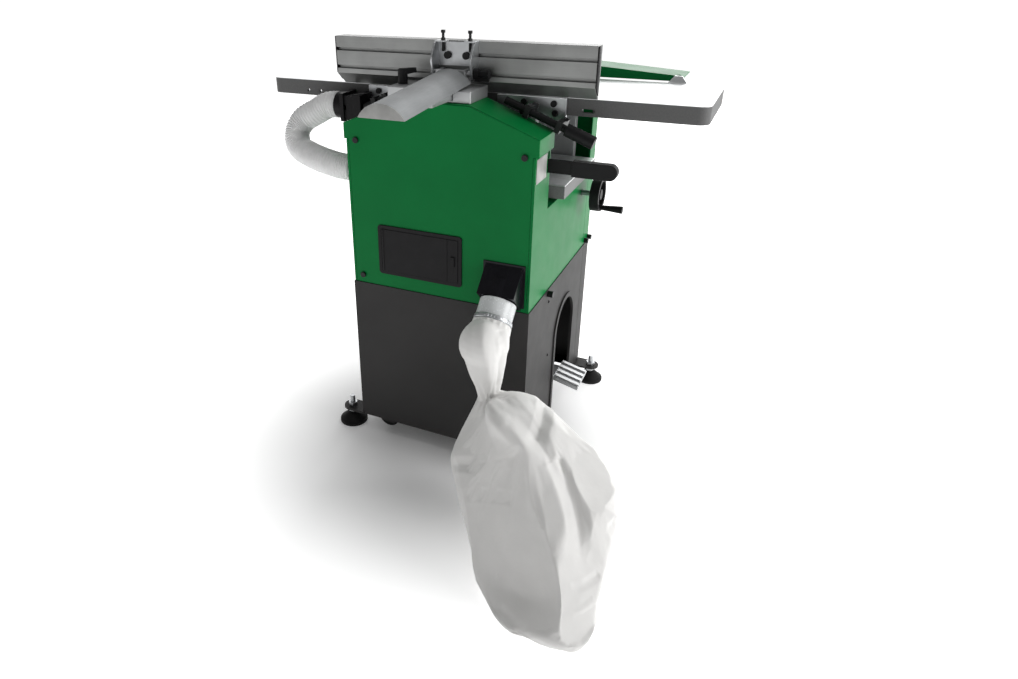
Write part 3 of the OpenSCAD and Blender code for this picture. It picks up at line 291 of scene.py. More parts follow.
# %% Pale floor
grid = bmesh.new()
bmesh.ops.create_grid(grid, x_segments=1, y_segments=1, size=50)
floor_mesh = bpy.data.meshes.new("floor")
grid.to_mesh(floor_mesh)
grid.free()
floor = bpy.data.objects.new("floor", floor_mesh)
bpy.context.scene.collection.objects.link(floor)
paper, tree, shader, place = start("paper_sweep", Roughness=0.9)
shader.inputs["Base Color"].default_value = linear("#ececec")
shader.inputs["Emission Color"].default_value = (1, 1, 1, 1)
# Painted light: the floor glows, faintly near the machine's middle and strongly far out, so the floor near
# the machine is painted darker.
reach = add(tree, "VectorMath", {0: place}, operation="LENGTH")
glow = add(tree, "MapRange", {"Value": reach.outputs["Value"], "From Min": 0.12, "From Max": 0.78,
                              "To Min": 0.04, "To Max": 0.85}, interpolation_type="SMOOTHSTEP")
tree.links.new(glow.outputs["Result"], shader.inputs["Emission Strength"])
floor.data.materials.append(paper)
print("floor", [round(v) for v in floor.dimensions], "m")

# %% [markdown]
# ## Painted sheet steel
#
# Powder coat melts on the steel and sets with a faint orange peel. On the green
# cabinet it is glossy, so the peel shows as a slight wobble in the reflections. The
# grey base has a rougher, textured coat that scatters light. Both get a slow change
# of tone, because no large panel is evenly lit or evenly clean.

# %% Powder coats
def powder_coat(name, hex_code, peel_mm, depth_mm, roughness, sheen):
    # Real peel is 1 to 3 mm across, near the finest that shows here, so it is drawn coarse.
    material, tree, shader, place = start(name, IOR=1.5, Specular_IOR_Level=sheen)
    cloud = add(tree, "TexNoise", {"Vector": place, "Scale": per_mm(170), "Detail": 3.0})
    tone = add(tree, "ValToRGB", {"Fac": cloud.outputs[0]},
               [(0.3, linear(hex_code, 0.92)), (0.7, linear(hex_code, 1.07))])
    tree.links.new(tone.outputs["Color"], shader.inputs["Base Color"])
    rub = add(tree, "TexNoise", {"Vector": place, "Scale": per_mm(45), "Detail": 5.0})
    rough = add(tree, "MapRange", {"Value": rub.outputs[0], "To Min": roughness - 0.05,
                                   "To Max": roughness + 0.07})
    tree.links.new(rough.outputs["Result"], shader.inputs["Roughness"])
    peel = add(tree, "TexNoise", {"Vector": place, "Scale": per_mm(peel_mm), "Detail": 2.0})
    bump = add(tree, "Bump", {"Height": peel.outputs[0], "Strength": 0.35, "Distance": depth_mm / 1000})
    tree.links.new(bump.outputs["Normal"], shader.inputs["Normal"])
    return material


GREEN_PAINT = powder_coat("powder_coat_green_gloss", "#066f36", 4.0, 0.10, 0.36, 0.08)
GREY_PAINT = powder_coat("powder_coat_grey_textured", "#363535", 2.4, 0.22, 0.52, 0.16)
BLACK_PAINT = powder_coat("enamel_black_satin", "#121213", 4.0, 0.10, 0.42, 0.3)
print("paints", GREEN_PAINT.name, GREY_PAINT.name, BLACK_PAINT.name)

# %% [markdown]
# ## Metals
#
# Rolled, turned and extruded metal shows the marks of the tool that shaped it: fine
# lines along the pull of an extrusion, rings on a turned shaft, and a cloudy bloom
# on zinc plate. One noise, stretched far more one way than the other, draws such
# lines, and they steer the roughness more than the colour.

# %% Drawn, turned and cast metals
def drawn_metal(name, hex_code, along, line_mm, run_mm, roughness, depth_mm=0.03):
    # Draw lines are finer than 0.2 mm, so they are spread to line_mm, where they show.
    material, tree, shader, place = start(name, Metallic=1.0)
    scale = [per_mm(line_mm)] * 3
    scale["XYZ".index(along)] = per_mm(run_mm)
    lined = add(tree, "Mapping", {"Vector": place, "Scale": scale})
    lines = add(tree, "TexNoise", {"Vector": lined.outputs["Vector"], "Scale": 1.0, "Detail": 4.0})
    cloud = add(tree, "TexNoise", {"Vector": place, "Scale": per_mm(70), "Detail": 4.0})
    tone = add(tree, "ValToRGB", {"Fac": cloud.outputs[0]},
               [(0.3, linear(hex_code, 0.86)), (0.72, linear(hex_code, 1.1))])
    tree.links.new(tone.outputs["Color"], shader.inputs["Base Color"])
    rough = add(tree, "MapRange", {"Value": lines.outputs[0], "To Min": roughness - 0.08,
                                   "To Max": roughness + 0.12})
    tree.links.new(rough.outputs["Result"], shader.inputs["Roughness"])
    bump = add(tree, "Bump", {"Height": lines.outputs[0], "Strength": 0.25, "Distance": depth_mm / 1000})
    tree.links.new(bump.outputs["Normal"], shader.inputs["Normal"])
    return material


FENCE_ALUMINIUM = drawn_metal("aluminium_extruded_along_x", "#989998", "X", 1.6, 220, 0.44)
GUARD_ALUMINIUM = drawn_metal("aluminium_extruded_along_y", "#949697", "Y", 1.6, 220, 0.62)
ZINC_PLATE = drawn_metal("steel_zinc_plated", "#c2c4c6", "Z", 4.0, 9.0, 0.36)
TURNED_STEEL = drawn_metal("steel_turned", "#9a9da0", "Y", 0.9, 3.0, 0.32)
CAST_ALUMINIUM = drawn_metal("aluminium_cast", "#bcbdbe", "Z", 3.0, 3.0, 0.46, 0.08)
BRASS = drawn_metal("brass_turned", "#b08d3c", "X", 1.0, 4.0, 0.30)
print("metals", FENCE_ALUMINIUM.name, ZINC_PLATE.name, BRASS.name)

# %% [markdown]
# ## Ground cast iron
#
# The tables and the bed are grey iron castings. Their sides are painted dark grey
# and their tops are ground bright, with fine marks along the feed. One material
# does both: it reads the height in the object's own coordinates and changes from
# paint to bare metal just under the top face.

# %% Cast iron with a ground top
def ground_casting(name, top_z, side_hex):
    # Grinding marks are about 0.1 mm wide; they are drawn 1.8 mm wide so that they show.
    material, tree, shader, place = start(name)
    height = add(tree, "SeparateXYZ", {"Vector": place})
    top = add(tree, "MapRange", {"Value": height.outputs["Z"], "From Min": top_z - 0.0016,
                                 "From Max": top_z - 0.0010})
    lined = add(tree, "Mapping", {"Vector": place, "Scale": (per_mm(160), per_mm(1.8), per_mm(30))})
    marks = add(tree, "TexNoise", {"Vector": lined.outputs["Vector"], "Scale": 1.0, "Detail": 5.0})
    sand = add(tree, "TexNoise", {"Vector": place, "Scale": per_mm(3.5), "Detail": 3.0})
    paint = add(tree, "ValToRGB", {"Fac": sand.outputs[0]},
                [(0.2, linear(side_hex, 0.85)), (0.8, linear(side_hex, 1.15))])
    iron = add(tree, "ValToRGB", {"Fac": marks.outputs[0]},
               [(0.3, linear("#d2d4d5")), (0.7, linear("#f2f3f3"))])
    colour = add(tree, "Mix", {0: top.outputs["Result"], 6: paint.outputs["Color"],
                               7: iron.outputs["Color"]}, data_type="RGBA")
    tree.links.new(colour.outputs[2], shader.inputs["Base Color"])
    tree.links.new(top.outputs["Result"], shader.inputs["Metallic"])
    rough = add(tree, "MapRange", {"Value": marks.outputs[0], "To Min": 0.34, "To Max": 0.5})
    both = add(tree, "Mix", {0: top.outputs["Result"], 2: 0.55, 3: rough.outputs["Result"]})
    tree.links.new(both.outputs[0], shader.inputs["Roughness"])
    bump = add(tree, "Bump", {"Height": sand.outputs[0], "Strength": 0.25, "Distance": 0.00012})
    tree.links.new(bump.outputs["Normal"], shader.inputs["Normal"])
    return material


TABLE_IRON = ground_casting("cast_iron_ground_top_table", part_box("infeed_table")[1].z, "#555555")
BED_IRON = ground_casting("cast_iron_ground_top_bed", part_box("thicknesser_bed")[1].z, "#6e6e6e")
print("castings", TABLE_IRON.name, BED_IRON.name)

# %% [markdown]
# ## Plastics and rubber
#
# Moulded black ABS copies the spark-eroded grain of its mould, so most of it is no
# mirror; the outlet chute comes from a polished mould and shines. Rubber is duller
# and a little uneven.

# %% Moulded plastics
def moulded(name, hex_code, grain_mm, roughness, depth_mm=0.06):
    # Mould grain is near 0.5 mm; it is drawn at grain_mm so that it shows at this distance.
    material, tree, shader, place = start(name, IOR=1.53, Specular_IOR_Level=0.16)
    grain = add(tree, "TexNoise", {"Vector": place, "Scale": per_mm(grain_mm), "Detail": 3.0})
    cloud = add(tree, "TexNoise", {"Vector": place, "Scale": per_mm(30), "Detail": 3.0})
    tone = add(tree, "ValToRGB", {"Fac": cloud.outputs[0]},
               [(0.3, linear(hex_code, 0.82)), (0.75, linear(hex_code, 1.2))])
    tree.links.new(tone.outputs["Color"], shader.inputs["Base Color"])
    rough = add(tree, "MapRange", {"Value": grain.outputs[0], "To Min": roughness - 0.06,
                                   "To Max": roughness + 0.08})
    tree.links.new(rough.outputs["Result"], shader.inputs["Roughness"])
    bump = add(tree, "Bump", {"Height": grain.outputs[0], "Strength": 0.3, "Distance": depth_mm / 1000})
    tree.links.new(bump.outputs["Normal"], shader.inputs["Normal"])
    return material


BLACK_ABS = moulded("abs_black_moulded", "#141315", 1.6, 0.46)
GLOSSY_ABS = moulded("abs_black_polished_mould", "#131217", 3.0, 0.20, 0.02)
BLACK_GRIP = moulded("polyamide_black_moulded", "#151516", 2.0, 0.46)
BLACK_RUBBER = moulded("rubber_black_moulded", "#1a1a1a", 2.4, 0.66)
RED_ABS = moulded("abs_red_moulded", "#b3120e", 1.6, 0.34)
GREEN_ABS = moulded("abs_green_moulded", "#0f7a2c", 1.6, 0.34)
GREY_ABS = moulded("abs_grey_moulded", "#a3a3a1", 1.8, 0.50)
CLEAR_PVC = soft_pvc("pvc_clear_dipped", "#eef1f2", 40, 0.24, 0.22, 0.4)
print("plastics", BLACK_ABS.name, GREY_ABS.name, CLEAR_PVC.name)

# %% [markdown]
# ## Rounded edges
#
# No real edge is perfectly sharp, and the thin highlight along it is what makes
# sheet and castings read as metal. The CAD mesh is loose triangles, so a copy is
# merged, its flat triangles are joined into whole faces, and its sharp edges are
# bevelled by the radius that the real piece has. Upright corners of a pressed frame
# are rounder, so they can be cut first with a radius of their own. Weighted normals
# keep the wide faces flat in the shading.

# %% Helpers for edges
MERGE = 2e-6


def round_edges(shape, edges, radius_mm, segments=2):
    bmesh.ops.bevel(shape, geom=edges, offset=radius_mm / 1000, offset_type="OFFSET", affect="EDGES",
                    segments=segments, profile=0.5, material=-1, clamp_overlap=True)


def sharp_edges(shape, degrees):
    limit = math.radians(degrees)
    return [e for e in shape.edges if e.is_manifold and e.calc_face_angle() > limit]


def corner_edges(shape, low, high, axis):
    """Edges along one axis that lie on the corners of a box."""
    across = [k for k in range(3) if k != axis]
    found = []
    for e in shape.edges:
        on_corner = all(min(abs(v.co[k] - low[k]), abs(v.co[k] - high[k])) < 1e-4
                        for v in e.verts for k in across)
        if on_corner and abs((e.verts[1].co - e.verts[0].co).normalized()[axis]) > 0.99:
            found.append(e)
    return found


print("points closer than", MERGE, "m are merged")

# %% Softened copies of CAD nodes
def softened(node, material, radius_mm, corner_axis=None, corner_mm=0.0):
    shape = bmesh.new()
    shape.from_mesh(nodes[node].data)
    bmesh.ops.remove_doubles(shape, verts=shape.verts, dist=MERGE)
    bmesh.ops.dissolve_limit(shape, angle_limit=math.radians(0.5), verts=shape.verts, edges=shape.edges)
    if corner_axis is not None:
        round_edges(shape, corner_edges(shape, *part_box(node), corner_axis), corner_mm, segments=6)
    round_edges(shape, sharp_edges(shape, 35), radius_mm)
    piece = as_piece(node + "_shell", shape, material, body_of_node[node])
    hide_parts(node)
    piece.modifiers.new("flat_faces_stay_flat", "WEIGHTED_NORMAL").keep_sharp = True
    return piece


edge_radii = [
    ("base_cabinet", GREY_PAINT, 1.5), ("base_front_panel", GREY_PAINT, 1.5),
    ("upper_cabinet", GREEN_PAINT, 0.8), ("drive_cover", GREEN_PAINT, 0.9),
    ("drive_roof", GREEN_PAINT, 0.9), ("upper_front_panel", GREEN_PAINT, 0.9),
    ("guard_arm", GREEN_PAINT, 0.8), ("infeed_table", TABLE_IRON, 1.2),
    ("outfeed_table", TABLE_IRON, 1.2), ("thicknesser_bed", BED_IRON, 1.2),
    ("fence", FENCE_ALUMINIUM, 0.8), ("fence_base", CAST_ALUMINIUM, 2.0),
    ("fence_slide", CAST_ALUMINIUM, 1.5), ("tilt_bracket", ZINC_PLATE, 0.8),
    ("rear_guard", GUARD_ALUMINIUM, 0.6), ("bridge_guard", GUARD_ALUMINIUM, 0.6),
    ("outlet_chute", GLOSSY_ABS, 1.2), ("chip_hood", BLACK_ABS, 1.5), ("flap_door", BLACK_ABS, 0.5),
    ("feed_lever", BLACK_GRIP, 2.2), ("lock_rod", BLACK_GRIP, 1.0), ("stay_rod", BLACK_PAINT, 0.8),
    ("handwheel", BLACK_GRIP, 1.2), ("crank_handle", BLACK_GRIP, 1.2),
    ("fence_lock_lever", BLACK_GRIP, 1.2), ("tilt_knob", BLACK_GRIP, 1.2),
    ("pedal_lever", CAST_ALUMINIUM, 1.6), ("start_button", GREEN_ABS, 1.0),
    ("stop_button", RED_ABS, 1.2), ("foot_pads", BLACK_RUBBER, 2.0),
    ("castor_wheels", BLACK_RUBBER, 2.0), ("lift_wheel", BLACK_RUBBER, 2.0),
    ("side_plates", CAST_ALUMINIUM, 1.5), ("outlet_collar", CLEAR_PVC, 0.8),
    ("hose_clamp", ZINC_PLATE, 0.5), ("cover_screws", BLACK_PAINT, 0.7),
    ("stop_screws", BLACK_PAINT, 0.7), ("foot_studs", ZINC_PLATE, 0.6),
]
for node, material, radius in edge_radii:
    softened(node, material, radius)
softened("flap_frame", BLACK_ABS, 0.6, 1, 8.0)
softened("switch_box", BLACK_ABS, 1.2, 1, 6.0)
plates = softened("hinge_plates", ZINC_PLATE, 1.0)
# The eyes that stand out from the plates to hold the lock rods are black.
plates.data.materials.append(BLACK_PAINT)
eyes_y = mm(0, 139, 0).y
for face in plates.data.polygons:
    if face.center.y < eyes_y:
        face.material_index = 1
print("softened", len(edge_radii) + 3)

# %% Finishes on the inner nodes
inner = {
    TURNED_STEEL: ["cutterblock", "planer_knives", "motor_shaft", "front_roller", "kickback_fingers",
                   "bed_column", "lift_screw", "handwheel_shaft", "cutter_bearings"],
    ZINC_PLATE: ["fan_housing"],
    CAST_ALUMINIUM: ["fan_impeller", "column_sleeve", "lift_bracket"],
    BLACK_PAINT: ["motor"],
    BLACK_RUBBER: ["drive_belt", "rear_roller"],
    BRASS: ["lift_nut"],
}
for material, names in inner.items():
    for node in names:
        nodes[node].data.materials.clear()
        nodes[node].data.materials.append(material)
print("inner finishes", sum(len(n) for n in inner.values()))

# %% [markdown]
# ## Caps and plates
#
# Cut ends of extrusions get plastic caps so that nobody touches a sharp edge, and
# the feed lever has a metal plate beside its slot. Each is a flat piece: a face on a
# few corners, pushed out to its thickness, with its edges broken by a small bevel.

# %% Fence end caps and lever plate
def thicken(shape, faces, push):
    """Give flat faces a thickness: extrude them and move the new side."""
    grown = bmesh.ops.extrude_face_region(shape, geom=faces)
    moved = [g for g in grown["geom"] if isinstance(g, bmesh.types.BMVert)]
    bmesh.ops.translate(shape, verts=moved, vec=push)
    bmesh.ops.recalc_face_normals(shape, faces=shape.faces)


def slab(corners, push, radius_mm):
    shape = bmesh.new()
    face = shape.faces.new([shape.verts.new(c) for c in corners])
    thicken(shape, [face], push)
    round_edges(shape, shape.edges[:], radius_mm)
    return shape


FENCE_END_X = 312
FENCE_CAP_THICK = 0.0026
LEVER_PLATE_X = 229
LEVER_PLATE_THICK = 0.0011
for side, x in (("left", -FENCE_END_X), ("right", FENCE_END_X)):
    cap = slab([mm(x, 112.2, 935), mm(x, 112.2, 1016), mm(x, 133, 1016), mm(x, 133, 916)],
               (math.copysign(FENCE_CAP_THICK, x), 0, 0), 0.5)
    as_piece("fence_cap_" + side, cap, BLACK_ABS, "tilt")
plate = slab([mm(LEVER_PLATE_X, y, z) for y, z in ((6, 748), (74, 748), (74, 801), (6, 801))],
             (LEVER_PLATE_THICK, 0, 0), 0.3)
as_piece("lever_plate", plate, GREY_ABS, "frame")
print("fence caps 2, lever plate 1")

# %% Half-moon caps on the guards
GUARD_CAP_THICK = 0.0022


def guard_cap(seat, width, height, thick):
    """A slice of a disc: the arc rests on a chord of the guard's width."""
    arc = (width ** 2 / 4 + height ** 2) / (2 * height)
    shape = bmesh.new()
    upright = Matrix.Translation((0, 0, height - arc)) @ Matrix.Rotation(math.radians(90), 4, "X")
    bmesh.ops.create_circle(shape, cap_ends=True, segments=128, radius=arc, matrix=upright)
    bmesh.ops.bisect_plane(shape, geom=shape.verts[:] + shape.edges[:] + shape.faces[:], dist=1e-6,
                           plane_co=(0, 0, 0), plane_no=(0, 0, -1), clear_outer=True)
    thicken(shape, shape.faces[:], (0, thick, 0))
    round_edges(shape, sharp_edges(shape, 30), 0.6)
    bmesh.ops.transform(shape, matrix=seat, verts=shape.verts)
    return shape


droop = Matrix.Translation(mm(4, 60, 946)) @ Matrix.Rotation(math.radians(4.3), 4, "X")
rear_seat = droop @ Matrix.Translation((0, -0.2989, -0.0110))
rear_cap = guard_cap(rear_seat, 0.100, 0.029, -GUARD_CAP_THICK)
as_piece("rear_guard_cap", rear_cap, GREY_ABS, "rear_cover")
bridge_low, bridge_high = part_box("bridge_guard")
bridge_seat = Matrix.Translation((0, bridge_high.y - 0.0001, bridge_low.z))
bridge_size = bridge_high - bridge_low
bridge_cap = guard_cap(bridge_seat, bridge_size.x, bridge_size.z, GUARD_CAP_THICK)
as_piece("bridge_guard_cap", bridge_cap, BLACK_ABS, "bridge")
print("guard caps 2, bridge guard", [round(v, 3) for v in bridge_size])

# %% [markdown]
# ## Bolts
#
# The fence slide and the base's end carry black socket bolts. A bolt head is turned
# from bar: a short cylinder with a soft rim, and a socket that is inset in its top
# face and pushed in.

# %% Socket bolts
def bolt_head(shape, place, facing, radius, height):
    out = Vector(facing)
    turned = out.to_track_quat("Z", "Y").to_matrix().to_4x4()
    head = bmesh.ops.create_cone(shape, cap_ends=True, segments=24, radius1=radius, radius2=radius,
                                 depth=height, matrix=Matrix.Translation(place + out * height / 2) @ turned)
    faces = {f for v in head["verts"] for f in v.link_faces}
    top = max(faces, key=lambda f: f.calc_center_median().dot(out))
    # The top face is drawn in three times: for the soft rim, the flat ring and the socket's wall.
    for inset, rise in ((0.10 * radius, 0.1 * radius), (0.36 * radius, 0.0), (0.04 * radius, -0.55 * height)):
        bmesh.ops.inset_region(shape, faces=[top], thickness=inset)
        bmesh.ops.translate(shape, verts=top.verts[:], vec=out * rise)


def bolts(name, body, places, facing, radius_mm, height_mm, material):
    shape = bmesh.new()
    for place in places:
        bolt_head(shape, mm(*place), facing, radius_mm / 1000, height_mm / 1000)
    bmesh.ops.recalc_face_normals(shape, faces=shape.faces)
    return as_piece(name, shape, material, body)


bolts("slide_bolt", "slide", [(0, 68, 938)], (0, -1, 0), 7.0, 5.0, BLACK_PAINT)
bolts("base_end_screws", "frame", [(231, 154, 411), (231, 172, 250)], (1, 0, 0), 3.6, 1.6,
      BLACK_PAINT)
print("bolts added")

# %% [markdown]
# ## The chip bag
#
# The bag is a sewn sack of filter cloth, clamped to the outlet and half full, so it
# lies against the floor with slack folds and a twisted neck. It could be sculpted,
# or blown up by a cloth simulation alone, but then its folds would fall anywhere.
# Here the CAD sack is given an even mesh, the folds that the photograph shows are
# drawn on it as lines that lift or sink the cloth, the panels between them are
# pressed flat as taut cloth is, and a short cloth simulation with a little extra
# cloth lets the surface crumple by itself.

# %% Filter cloth
def filter_cloth(name):
    # Woven polyester: dull, faintly sheer, with broad creases. The threads are 0.3 mm
    # apart, far too fine to show, so the weave is drawn at 2.2 mm.
    material, tree, shader, place = start(name, Roughness=0.82, IOR=1.45, Sheen_Weight=0.25,
                                          Sheen_Roughness=0.5)
    cloud = add(tree, "TexNoise", {"Vector": place, "Scale": per_mm(120), "Detail": 4.0})
    tone = add(tree, "ValToRGB", {"Fac": cloud.outputs[0]},
               [(0.3, linear("#dedddb")), (0.7, linear("#eae9e7"))])
    tree.links.new(tone.outputs["Color"], shader.inputs["Base Color"])
    thread = add(tree, "TexNoise", {"Vector": place, "Scale": per_mm(2.2), "Detail": 3.0})
    crease = add(tree, "TexNoise", {"Vector": place, "Scale": per_mm(70), "Detail": 5.0,
                                    "Roughness": 0.5})
    fine = add(tree, "Bump", {"Height": thread.outputs[0], "Strength": 0.2, "Distance": 0.0002})
    broad = add(tree, "Bump", {"Height": crease.outputs[0], "Strength": 0.25, "Distance": 0.008,
                               "Normal": fine.outputs["Normal"]})
    tree.links.new(broad.outputs["Normal"], shader.inputs["Normal"])
    return material


CLOTH = filter_cloth("polyester_filter_cloth_woven")
print("cloth", CLOTH.name)

# %% Even cloth mesh
CLOTH_STEP = 0.0036
shape = bmesh.new()
shape.from_mesh(nodes["chip_bag"].data)
bmesh.ops.remove_doubles(shape, verts=shape.verts, dist=MERGE)
bag = as_piece("chip_bag_cloth", shape, CLOTH, "frame", sharp=180)
remesh = bag.modifiers.new("even_weave", "REMESH")
remesh.mode = "VOXEL"
remesh.voxel_size = CLOTH_STEP
bpy.context.view_layer.update()
remeshed = bag.evaluated_get(bpy.context.evaluated_depsgraph_get())
even = bpy.data.meshes.new_from_object(remeshed)
bag.modifiers.clear()
bag.data = even
print("bag faces", len(even.polygons))

# %% Bulges, fold lines and flat panels
# Each bulge: centre and reach in millimetres, and how far the cloth is pushed there.
bulges = [
    ((430, -490, 10), 170, (0, -29, 0)), ((340, -450, 10), 130, (-6, -38, 0)),
    ((200, -320, 170), 120, (-4, -12, 6)), ((440, -230, 270), 120, (8, 0, 8)),
    ((205, -205, 312), 70, (0, 6, -16)), ((150, -265, 170), 70, (-7, -4, 0)),
]
# Each fold: height and half width in millimetres, and its line in the frame's millimetres.
folds = {
    "panel_edge": (20, 85, [(222, -228, 312), (276, -291, 280), (315, -314, 255), (347, -349, 214),
        (419, -417, 132), (461, -466, 68), (490, -500, 14)]),
    "strip_edge": (12, 38, [(222, -228, 312), (310, -292, 282), (366, -321, 248), (402, -354, 210),
        (423, -378, 179), (434, -412, 136)]),
    "side_hollow": (-17, 30, [(386, -290, 270), (412, -324, 240), (446, -360, 195),
        (462, -385, 160), (474, -412, 118)]),
    "strip_start": (9, 28, [(222, -228, 312), (276, -291, 280), (315, -314, 255),
        (342, -342, 222)]),
    "shoulder_tuck": (-11, 24, [(230, -224, 320), (290, -258, 306), (332, -283, 288),
        (374, -306, 262)]),
    "top_tuck": (-9, 20, [(308, -171, 309), (325, -213, 317), (332, -245, 310), (333, -289, 283)]),
    "top_edge": (9, 30, [(308, -190, 320), (352, -239, 302), (390, -290, 268)]),
    "right_edge": (7, 26, [(390, -290, 268), (424, -247, 261), (440, -202, 240)]),
    "corner_low": (8, 16, [(486, -330, 192), (507, -300, 170), (512, -276, 150)]),
    "corner_high": (6, 16, [(470, -325, 205), (490, -290, 205), (497, -252, 200)]),
    "right_tuck": (-6, 16, [(470, -400, 130), (492, -360, 150), (512, -300, 160)]),
    "neck_crease": (9, 26, [(168, -165, 467), (182, -208, 437), (193, -204, 378),
        (199, -212, 307)]),
    "neck_tuck": (-6, 18, [(200, -160, 456), (212, -180, 400), (208, -182, 325)]),
}
# Small creases, drawn the same way after the panels have been pressed.
creases = {
    "waist_crease": (-7, 18, [(136, -281, 157), (176, -302, 189), (215, -321, 216),
        (281, -332, 258), (322, -316, 278)]),
    "strip_crease": (-5, 10, [(338, -356, 228), (356, -350, 224), (378, -340, 224)]),
    "strip_crease_low": (4, 10, [(372, -380, 192), (392, -372, 186), (412, -370, 190)]),
    "left_crease": (-3, 16, [(205, -345, 150), (262, -360, 180), (318, -365, 196)]),
    "right_crease": (-4, 12, [(462, -440, 96), (482, -425, 92), (508, -390, 98)]),
    "right_crease_low": (4, 11, [(470, -470, 60), (488, -455, 62), (508, -425, 66)]),
    "bottom_crease": (-5, 14, [(330, -490, 30), (390, -515, 22), (450, -520, 26)]),
}
# Each panel: a point on it, the way it faces, and the middle and reach of the cloth that is
# pressed flat.
panels = {
    "left": ((237, -400, 76), (-0.32, -0.84, 0.43), (345, -385, 150), 210),
    "strip": ((353, -366, 230), (0.17, -0.68, 0.71), (385, -365, 205), 120),
    "right_side": ((485, -334, 190), (0.76, -0.44, 0.48), (500, -370, 130), 130),
    "right_low": ((440, -448, 128), (0.65, -0.42, 0.63), (485, -450, 80), 140),
    "right_high": ((390, -293, 270), (0.52, -0.29, 0.80), (440, -280, 235), 150),
}


FOLD_STEPS = 80
PRESS_EDGE = 0.08


def ease(t):
    t = min(max(t, 0.0), 1.0)
    return t * t * (3 - 2 * t)


def draw_folds(shape, lines):
    """Lift or sink the cloth along lines; the fold's sides run straight down to its half width."""
    shape.normal_update()
    moves = [Vector((0, 0, 0)) for v in shape.verts]
    for height, width, points in lines.values():
        line = [Vector(p) / 1000 for p in points]
        finder = kdtree.KDTree(FOLD_STEPS + 1)
        for k in range(FOLD_STEPS + 1):
            finder.insert(on_line(line, k / FOLD_STEPS), k)
        finder.balance()
        for v in shape.verts:
            _, k, gap = finder.find(v.co)
            if gap < width / 1000:
                taper = ease((min(k, FOLD_STEPS - k) + 4) / 11)
                moves[v.index] += v.normal * (height / 1000 * taper * (1 - gap * 1000 / width))
    for v in shape.verts:
        v.co += moves[v.index]
    return max(m.length for m in moves)


shape = bmesh.new()
shape.from_mesh(bag.data)
for centre, reach, push in bulges:
    for v in shape.verts:
        v.co += Vector(push) / 1000 * ease(1 - (v.co - Vector(centre) / 1000).length / reach * 1000)
folded = draw_folds(shape, folds)
pressed = 0
for point, facing, middle, reach in panels.values():
    facing = Vector(facing).normalized()
    for v in shape.verts:
        out = (v.co - Vector(point) / 1000).dot(facing)
        if out > 0:
            away = (v.co - Vector(middle) / 1000).length
            v.co -= facing * out * ease((reach / 1000 - away) / PRESS_EDGE)
            pressed += 1
creased = draw_folds(shape, creases)
print("folds", len(folds), "largest", round(folded, 4), "m, points pressed flat", pressed)
print("creases", len(creases), "largest", round(creased, 4), "m")

# %% Neck pleats and small crumples
PINCH = Vector((0.190, -0.190, 0.290))
PINCH_HEIGHT = 0.045
PINCH_REACH = 0.12
PLEATS = 7
PLEAT_DEPTH = 0.003
SQUEEZE = 0.3
FLOOR_GAP = 0.0006
for v in shape.verts:
    near = ease(1 - (v.co - PINCH).length / PINCH_REACH)
    reach = math.exp(-((v.co.z - PINCH.z) / PINCH_HEIGHT) ** 2) * near
    angle = math.atan2(v.co.y - PINCH.y, v.co.x - PINCH.x)
    slow = noise.noise(v.co * 15) * 0.0012 + noise.noise(v.co * 40 + Vector((5, 1, 2))) * 0.0006
    pleat = PLEAT_DEPTH * reach * math.cos(PLEATS * angle)
    v.co += v.normal * (pleat + slow * ease((0.47 - v.co.z) / 0.1))
    inward = Vector((PINCH.x - v.co.x, PINCH.y - v.co.y, 0))
    v.co += inward * SQUEEZE * reach
    v.co.z = max(v.co.z, FLOOR_GAP)
shape.to_mesh(bag.data)
shape.free()
bag_low, bag_near = (min(v.co[axis] for v in bag.data.vertices) for axis in (2, 1))
print("bag low", round(bag_low, 4), "near", round(bag_near, 4))

# %% Cloth simulation
# The rest lengths grow by half a percent, so there is a little too much cloth and it
# crumples, while a low pressure stands for the chips inside. The clamped neck and the
# cloth on the floor stay where they are, and no point moves more than 5 mm.
EXTRA_CLOTH = 0.005
MOST_MOVE = 0.005
SIM_FRAMES = 8
before = [v.co.copy() for v in bag.data.vertices]
held = bag.vertex_groups.new(name="held")
for v in bag.data.vertices:
    at_neck, at_floor = ease((v.co.z - 0.26) / 0.06), ease((0.012 - v.co.z) / 0.008)
    held.add([v.index], max(at_neck, at_floor), "REPLACE")
cloth = bag.modifiers.new("crumple", "CLOTH")
cloth.settings.quality = 4
cloth.settings.mass = 0.2
cloth.settings.tension_stiffness = 20
cloth.settings.compression_stiffness = 20
cloth.settings.bending_stiffness = 0.4
cloth.settings.use_pressure = True
cloth.settings.uniform_pressure_force = 0.6
cloth.settings.shrink_min = -EXTRA_CLOTH
cloth.settings.vertex_group_mass = "held"
cloth.settings.effector_weights.gravity = 0.1
cloth.collision_settings.use_collision = False
cloth.point_cache.frame_end = SIM_FRAMES
for number in range(1, SIM_FRAMES + 1):
    bpy.context.scene.frame_set(number)
crumpled = bag.evaluated_get(bpy.context.evaluated_depsgraph_get()).to_mesh()
after = [v.co.copy() for v in crumpled.vertices]
bag.modifiers.clear()
bag.vertex_groups.clear()
bpy.context.scene.frame_set(1)
for v, old, new in zip(bag.data.vertices, before, after):
    move = new - old
    v.co = old + move * min(1.0, MOST_MOVE / max(move.length, 1e-9))
    v.co.z = max(v.co.z, FLOOR_GAP)
mean_move = sum((a - b).length for a, b in zip(before, after)) / len(before)
print("simulated, mean move", round(mean_move, 5))

# %% Gathered cuff under the clamp, and the finished bag
CHUTE_AXIS = Vector((0, -1, -1)).normalized()
CHUTE_TURN = CHUTE_AXIS.to_track_quat("Z", "Y").to_matrix().to_4x4()


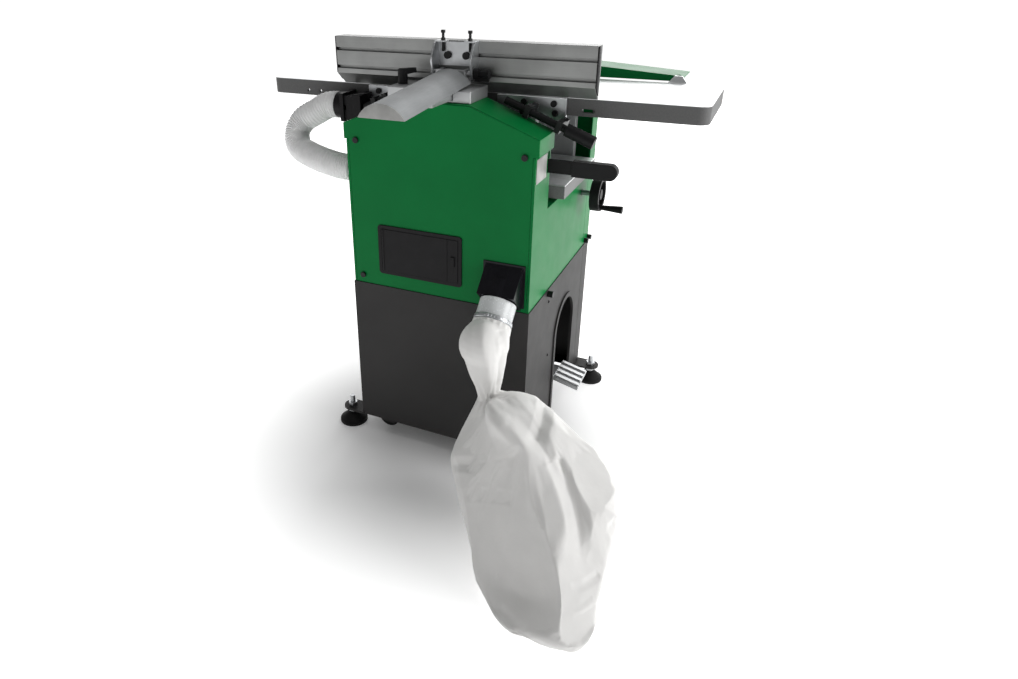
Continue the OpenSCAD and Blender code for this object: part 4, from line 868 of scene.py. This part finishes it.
def chute_ring(shape, along, radius, sides, pleats=0, depth=0.0):
    """A ring round the outlet's axis, waved by pleats where the cloth is gathered."""
    centre = mm(168, 0, 511) + CHUTE_AXIS * along / 1000
    seat = Matrix.Translation(centre) @ CHUTE_TURN
    ring = bmesh.ops.create_circle(shape, segments=sides, radius=radius / 1000, matrix=seat)
    for k, v in enumerate(ring["verts"]):
        v.co += (v.co - centre).normalized() * depth / 1000 * math.cos(2 * math.pi * k * pleats / sides)
    return list({e for v in ring["verts"] for e in v.link_edges})


CUFF_SIDES = 144
CUFF_PLEATS = 18
# Each ring of the cuff: its place along the outlet, radius and pleat depth in millimetres.
cuff_rings = [(96.4, 42.9, 0.1), (98.0, 44.0, 0.5), (101.0, 44.2, 0.8), (105.0, 44.3, 0.9),
              (109.0, 44.9, 0.8), (113.0, 45.6, 0.5), (116.0, 45.2, 0.2)]
shape = bmesh.new()
bridge(shape, [chute_ring(shape, along, radius, CUFF_SIDES, CUFF_PLEATS, depth)
               for along, radius, depth in cuff_rings])
bmesh.ops.recalc_face_normals(shape, faces=shape.faces)
bmesh.ops.solidify(shape, geom=shape.faces[:], thickness=0.0012)
bmesh.ops.recalc_face_normals(shape, faces=shape.faces)
shape.from_mesh(bag.data)
shape.to_mesh(bag.data)
shape.free()
bag.data.polygons.foreach_set("use_smooth", [True] * len(bag.data.polygons))
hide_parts("chip_bag")
print("bag triangles", sum(len(f.vertices) - 2 for f in bag.data.polygons))

# %% [markdown]
# ## The slotted clamp band
#
# A worm-drive clamp is a strip of steel with slots that the screw bites in. The
# strip is a ring of narrow faces round the outlet; every second face is inset and
# pushed in, which leaves the slots, and the ring is thickened inwards.

# %% Clamp band
BAND_SIDES = 72
SLOTTED_AREA = 1.6e-5
band_rings = [(86.6, 44.1), (88.2, 44.3), (93.8, 44.3), (95.4, 44.1)]
shape = bmesh.new()
bridge(shape, [chute_ring(shape, along, radius, BAND_SIDES) for along, radius in band_rings])
bmesh.ops.recalc_face_normals(shape, faces=shape.faces)
shape.faces.ensure_lookup_table()
wide = sorted([f for f in shape.faces if f.calc_area() > SLOTTED_AREA], key=lambda f: f.index)
slots = wide[::2]
bmesh.ops.inset_individual(shape, faces=slots, thickness=0.0007, depth=-0.0006)
band_piece = as_piece("hose_clamp_band", shape, ZINC_PLATE, "frame", sharp=30)
band_piece.modifiers.new("strip", "SOLIDIFY").thickness = 0.0004
print("clamp slots", len(slots))
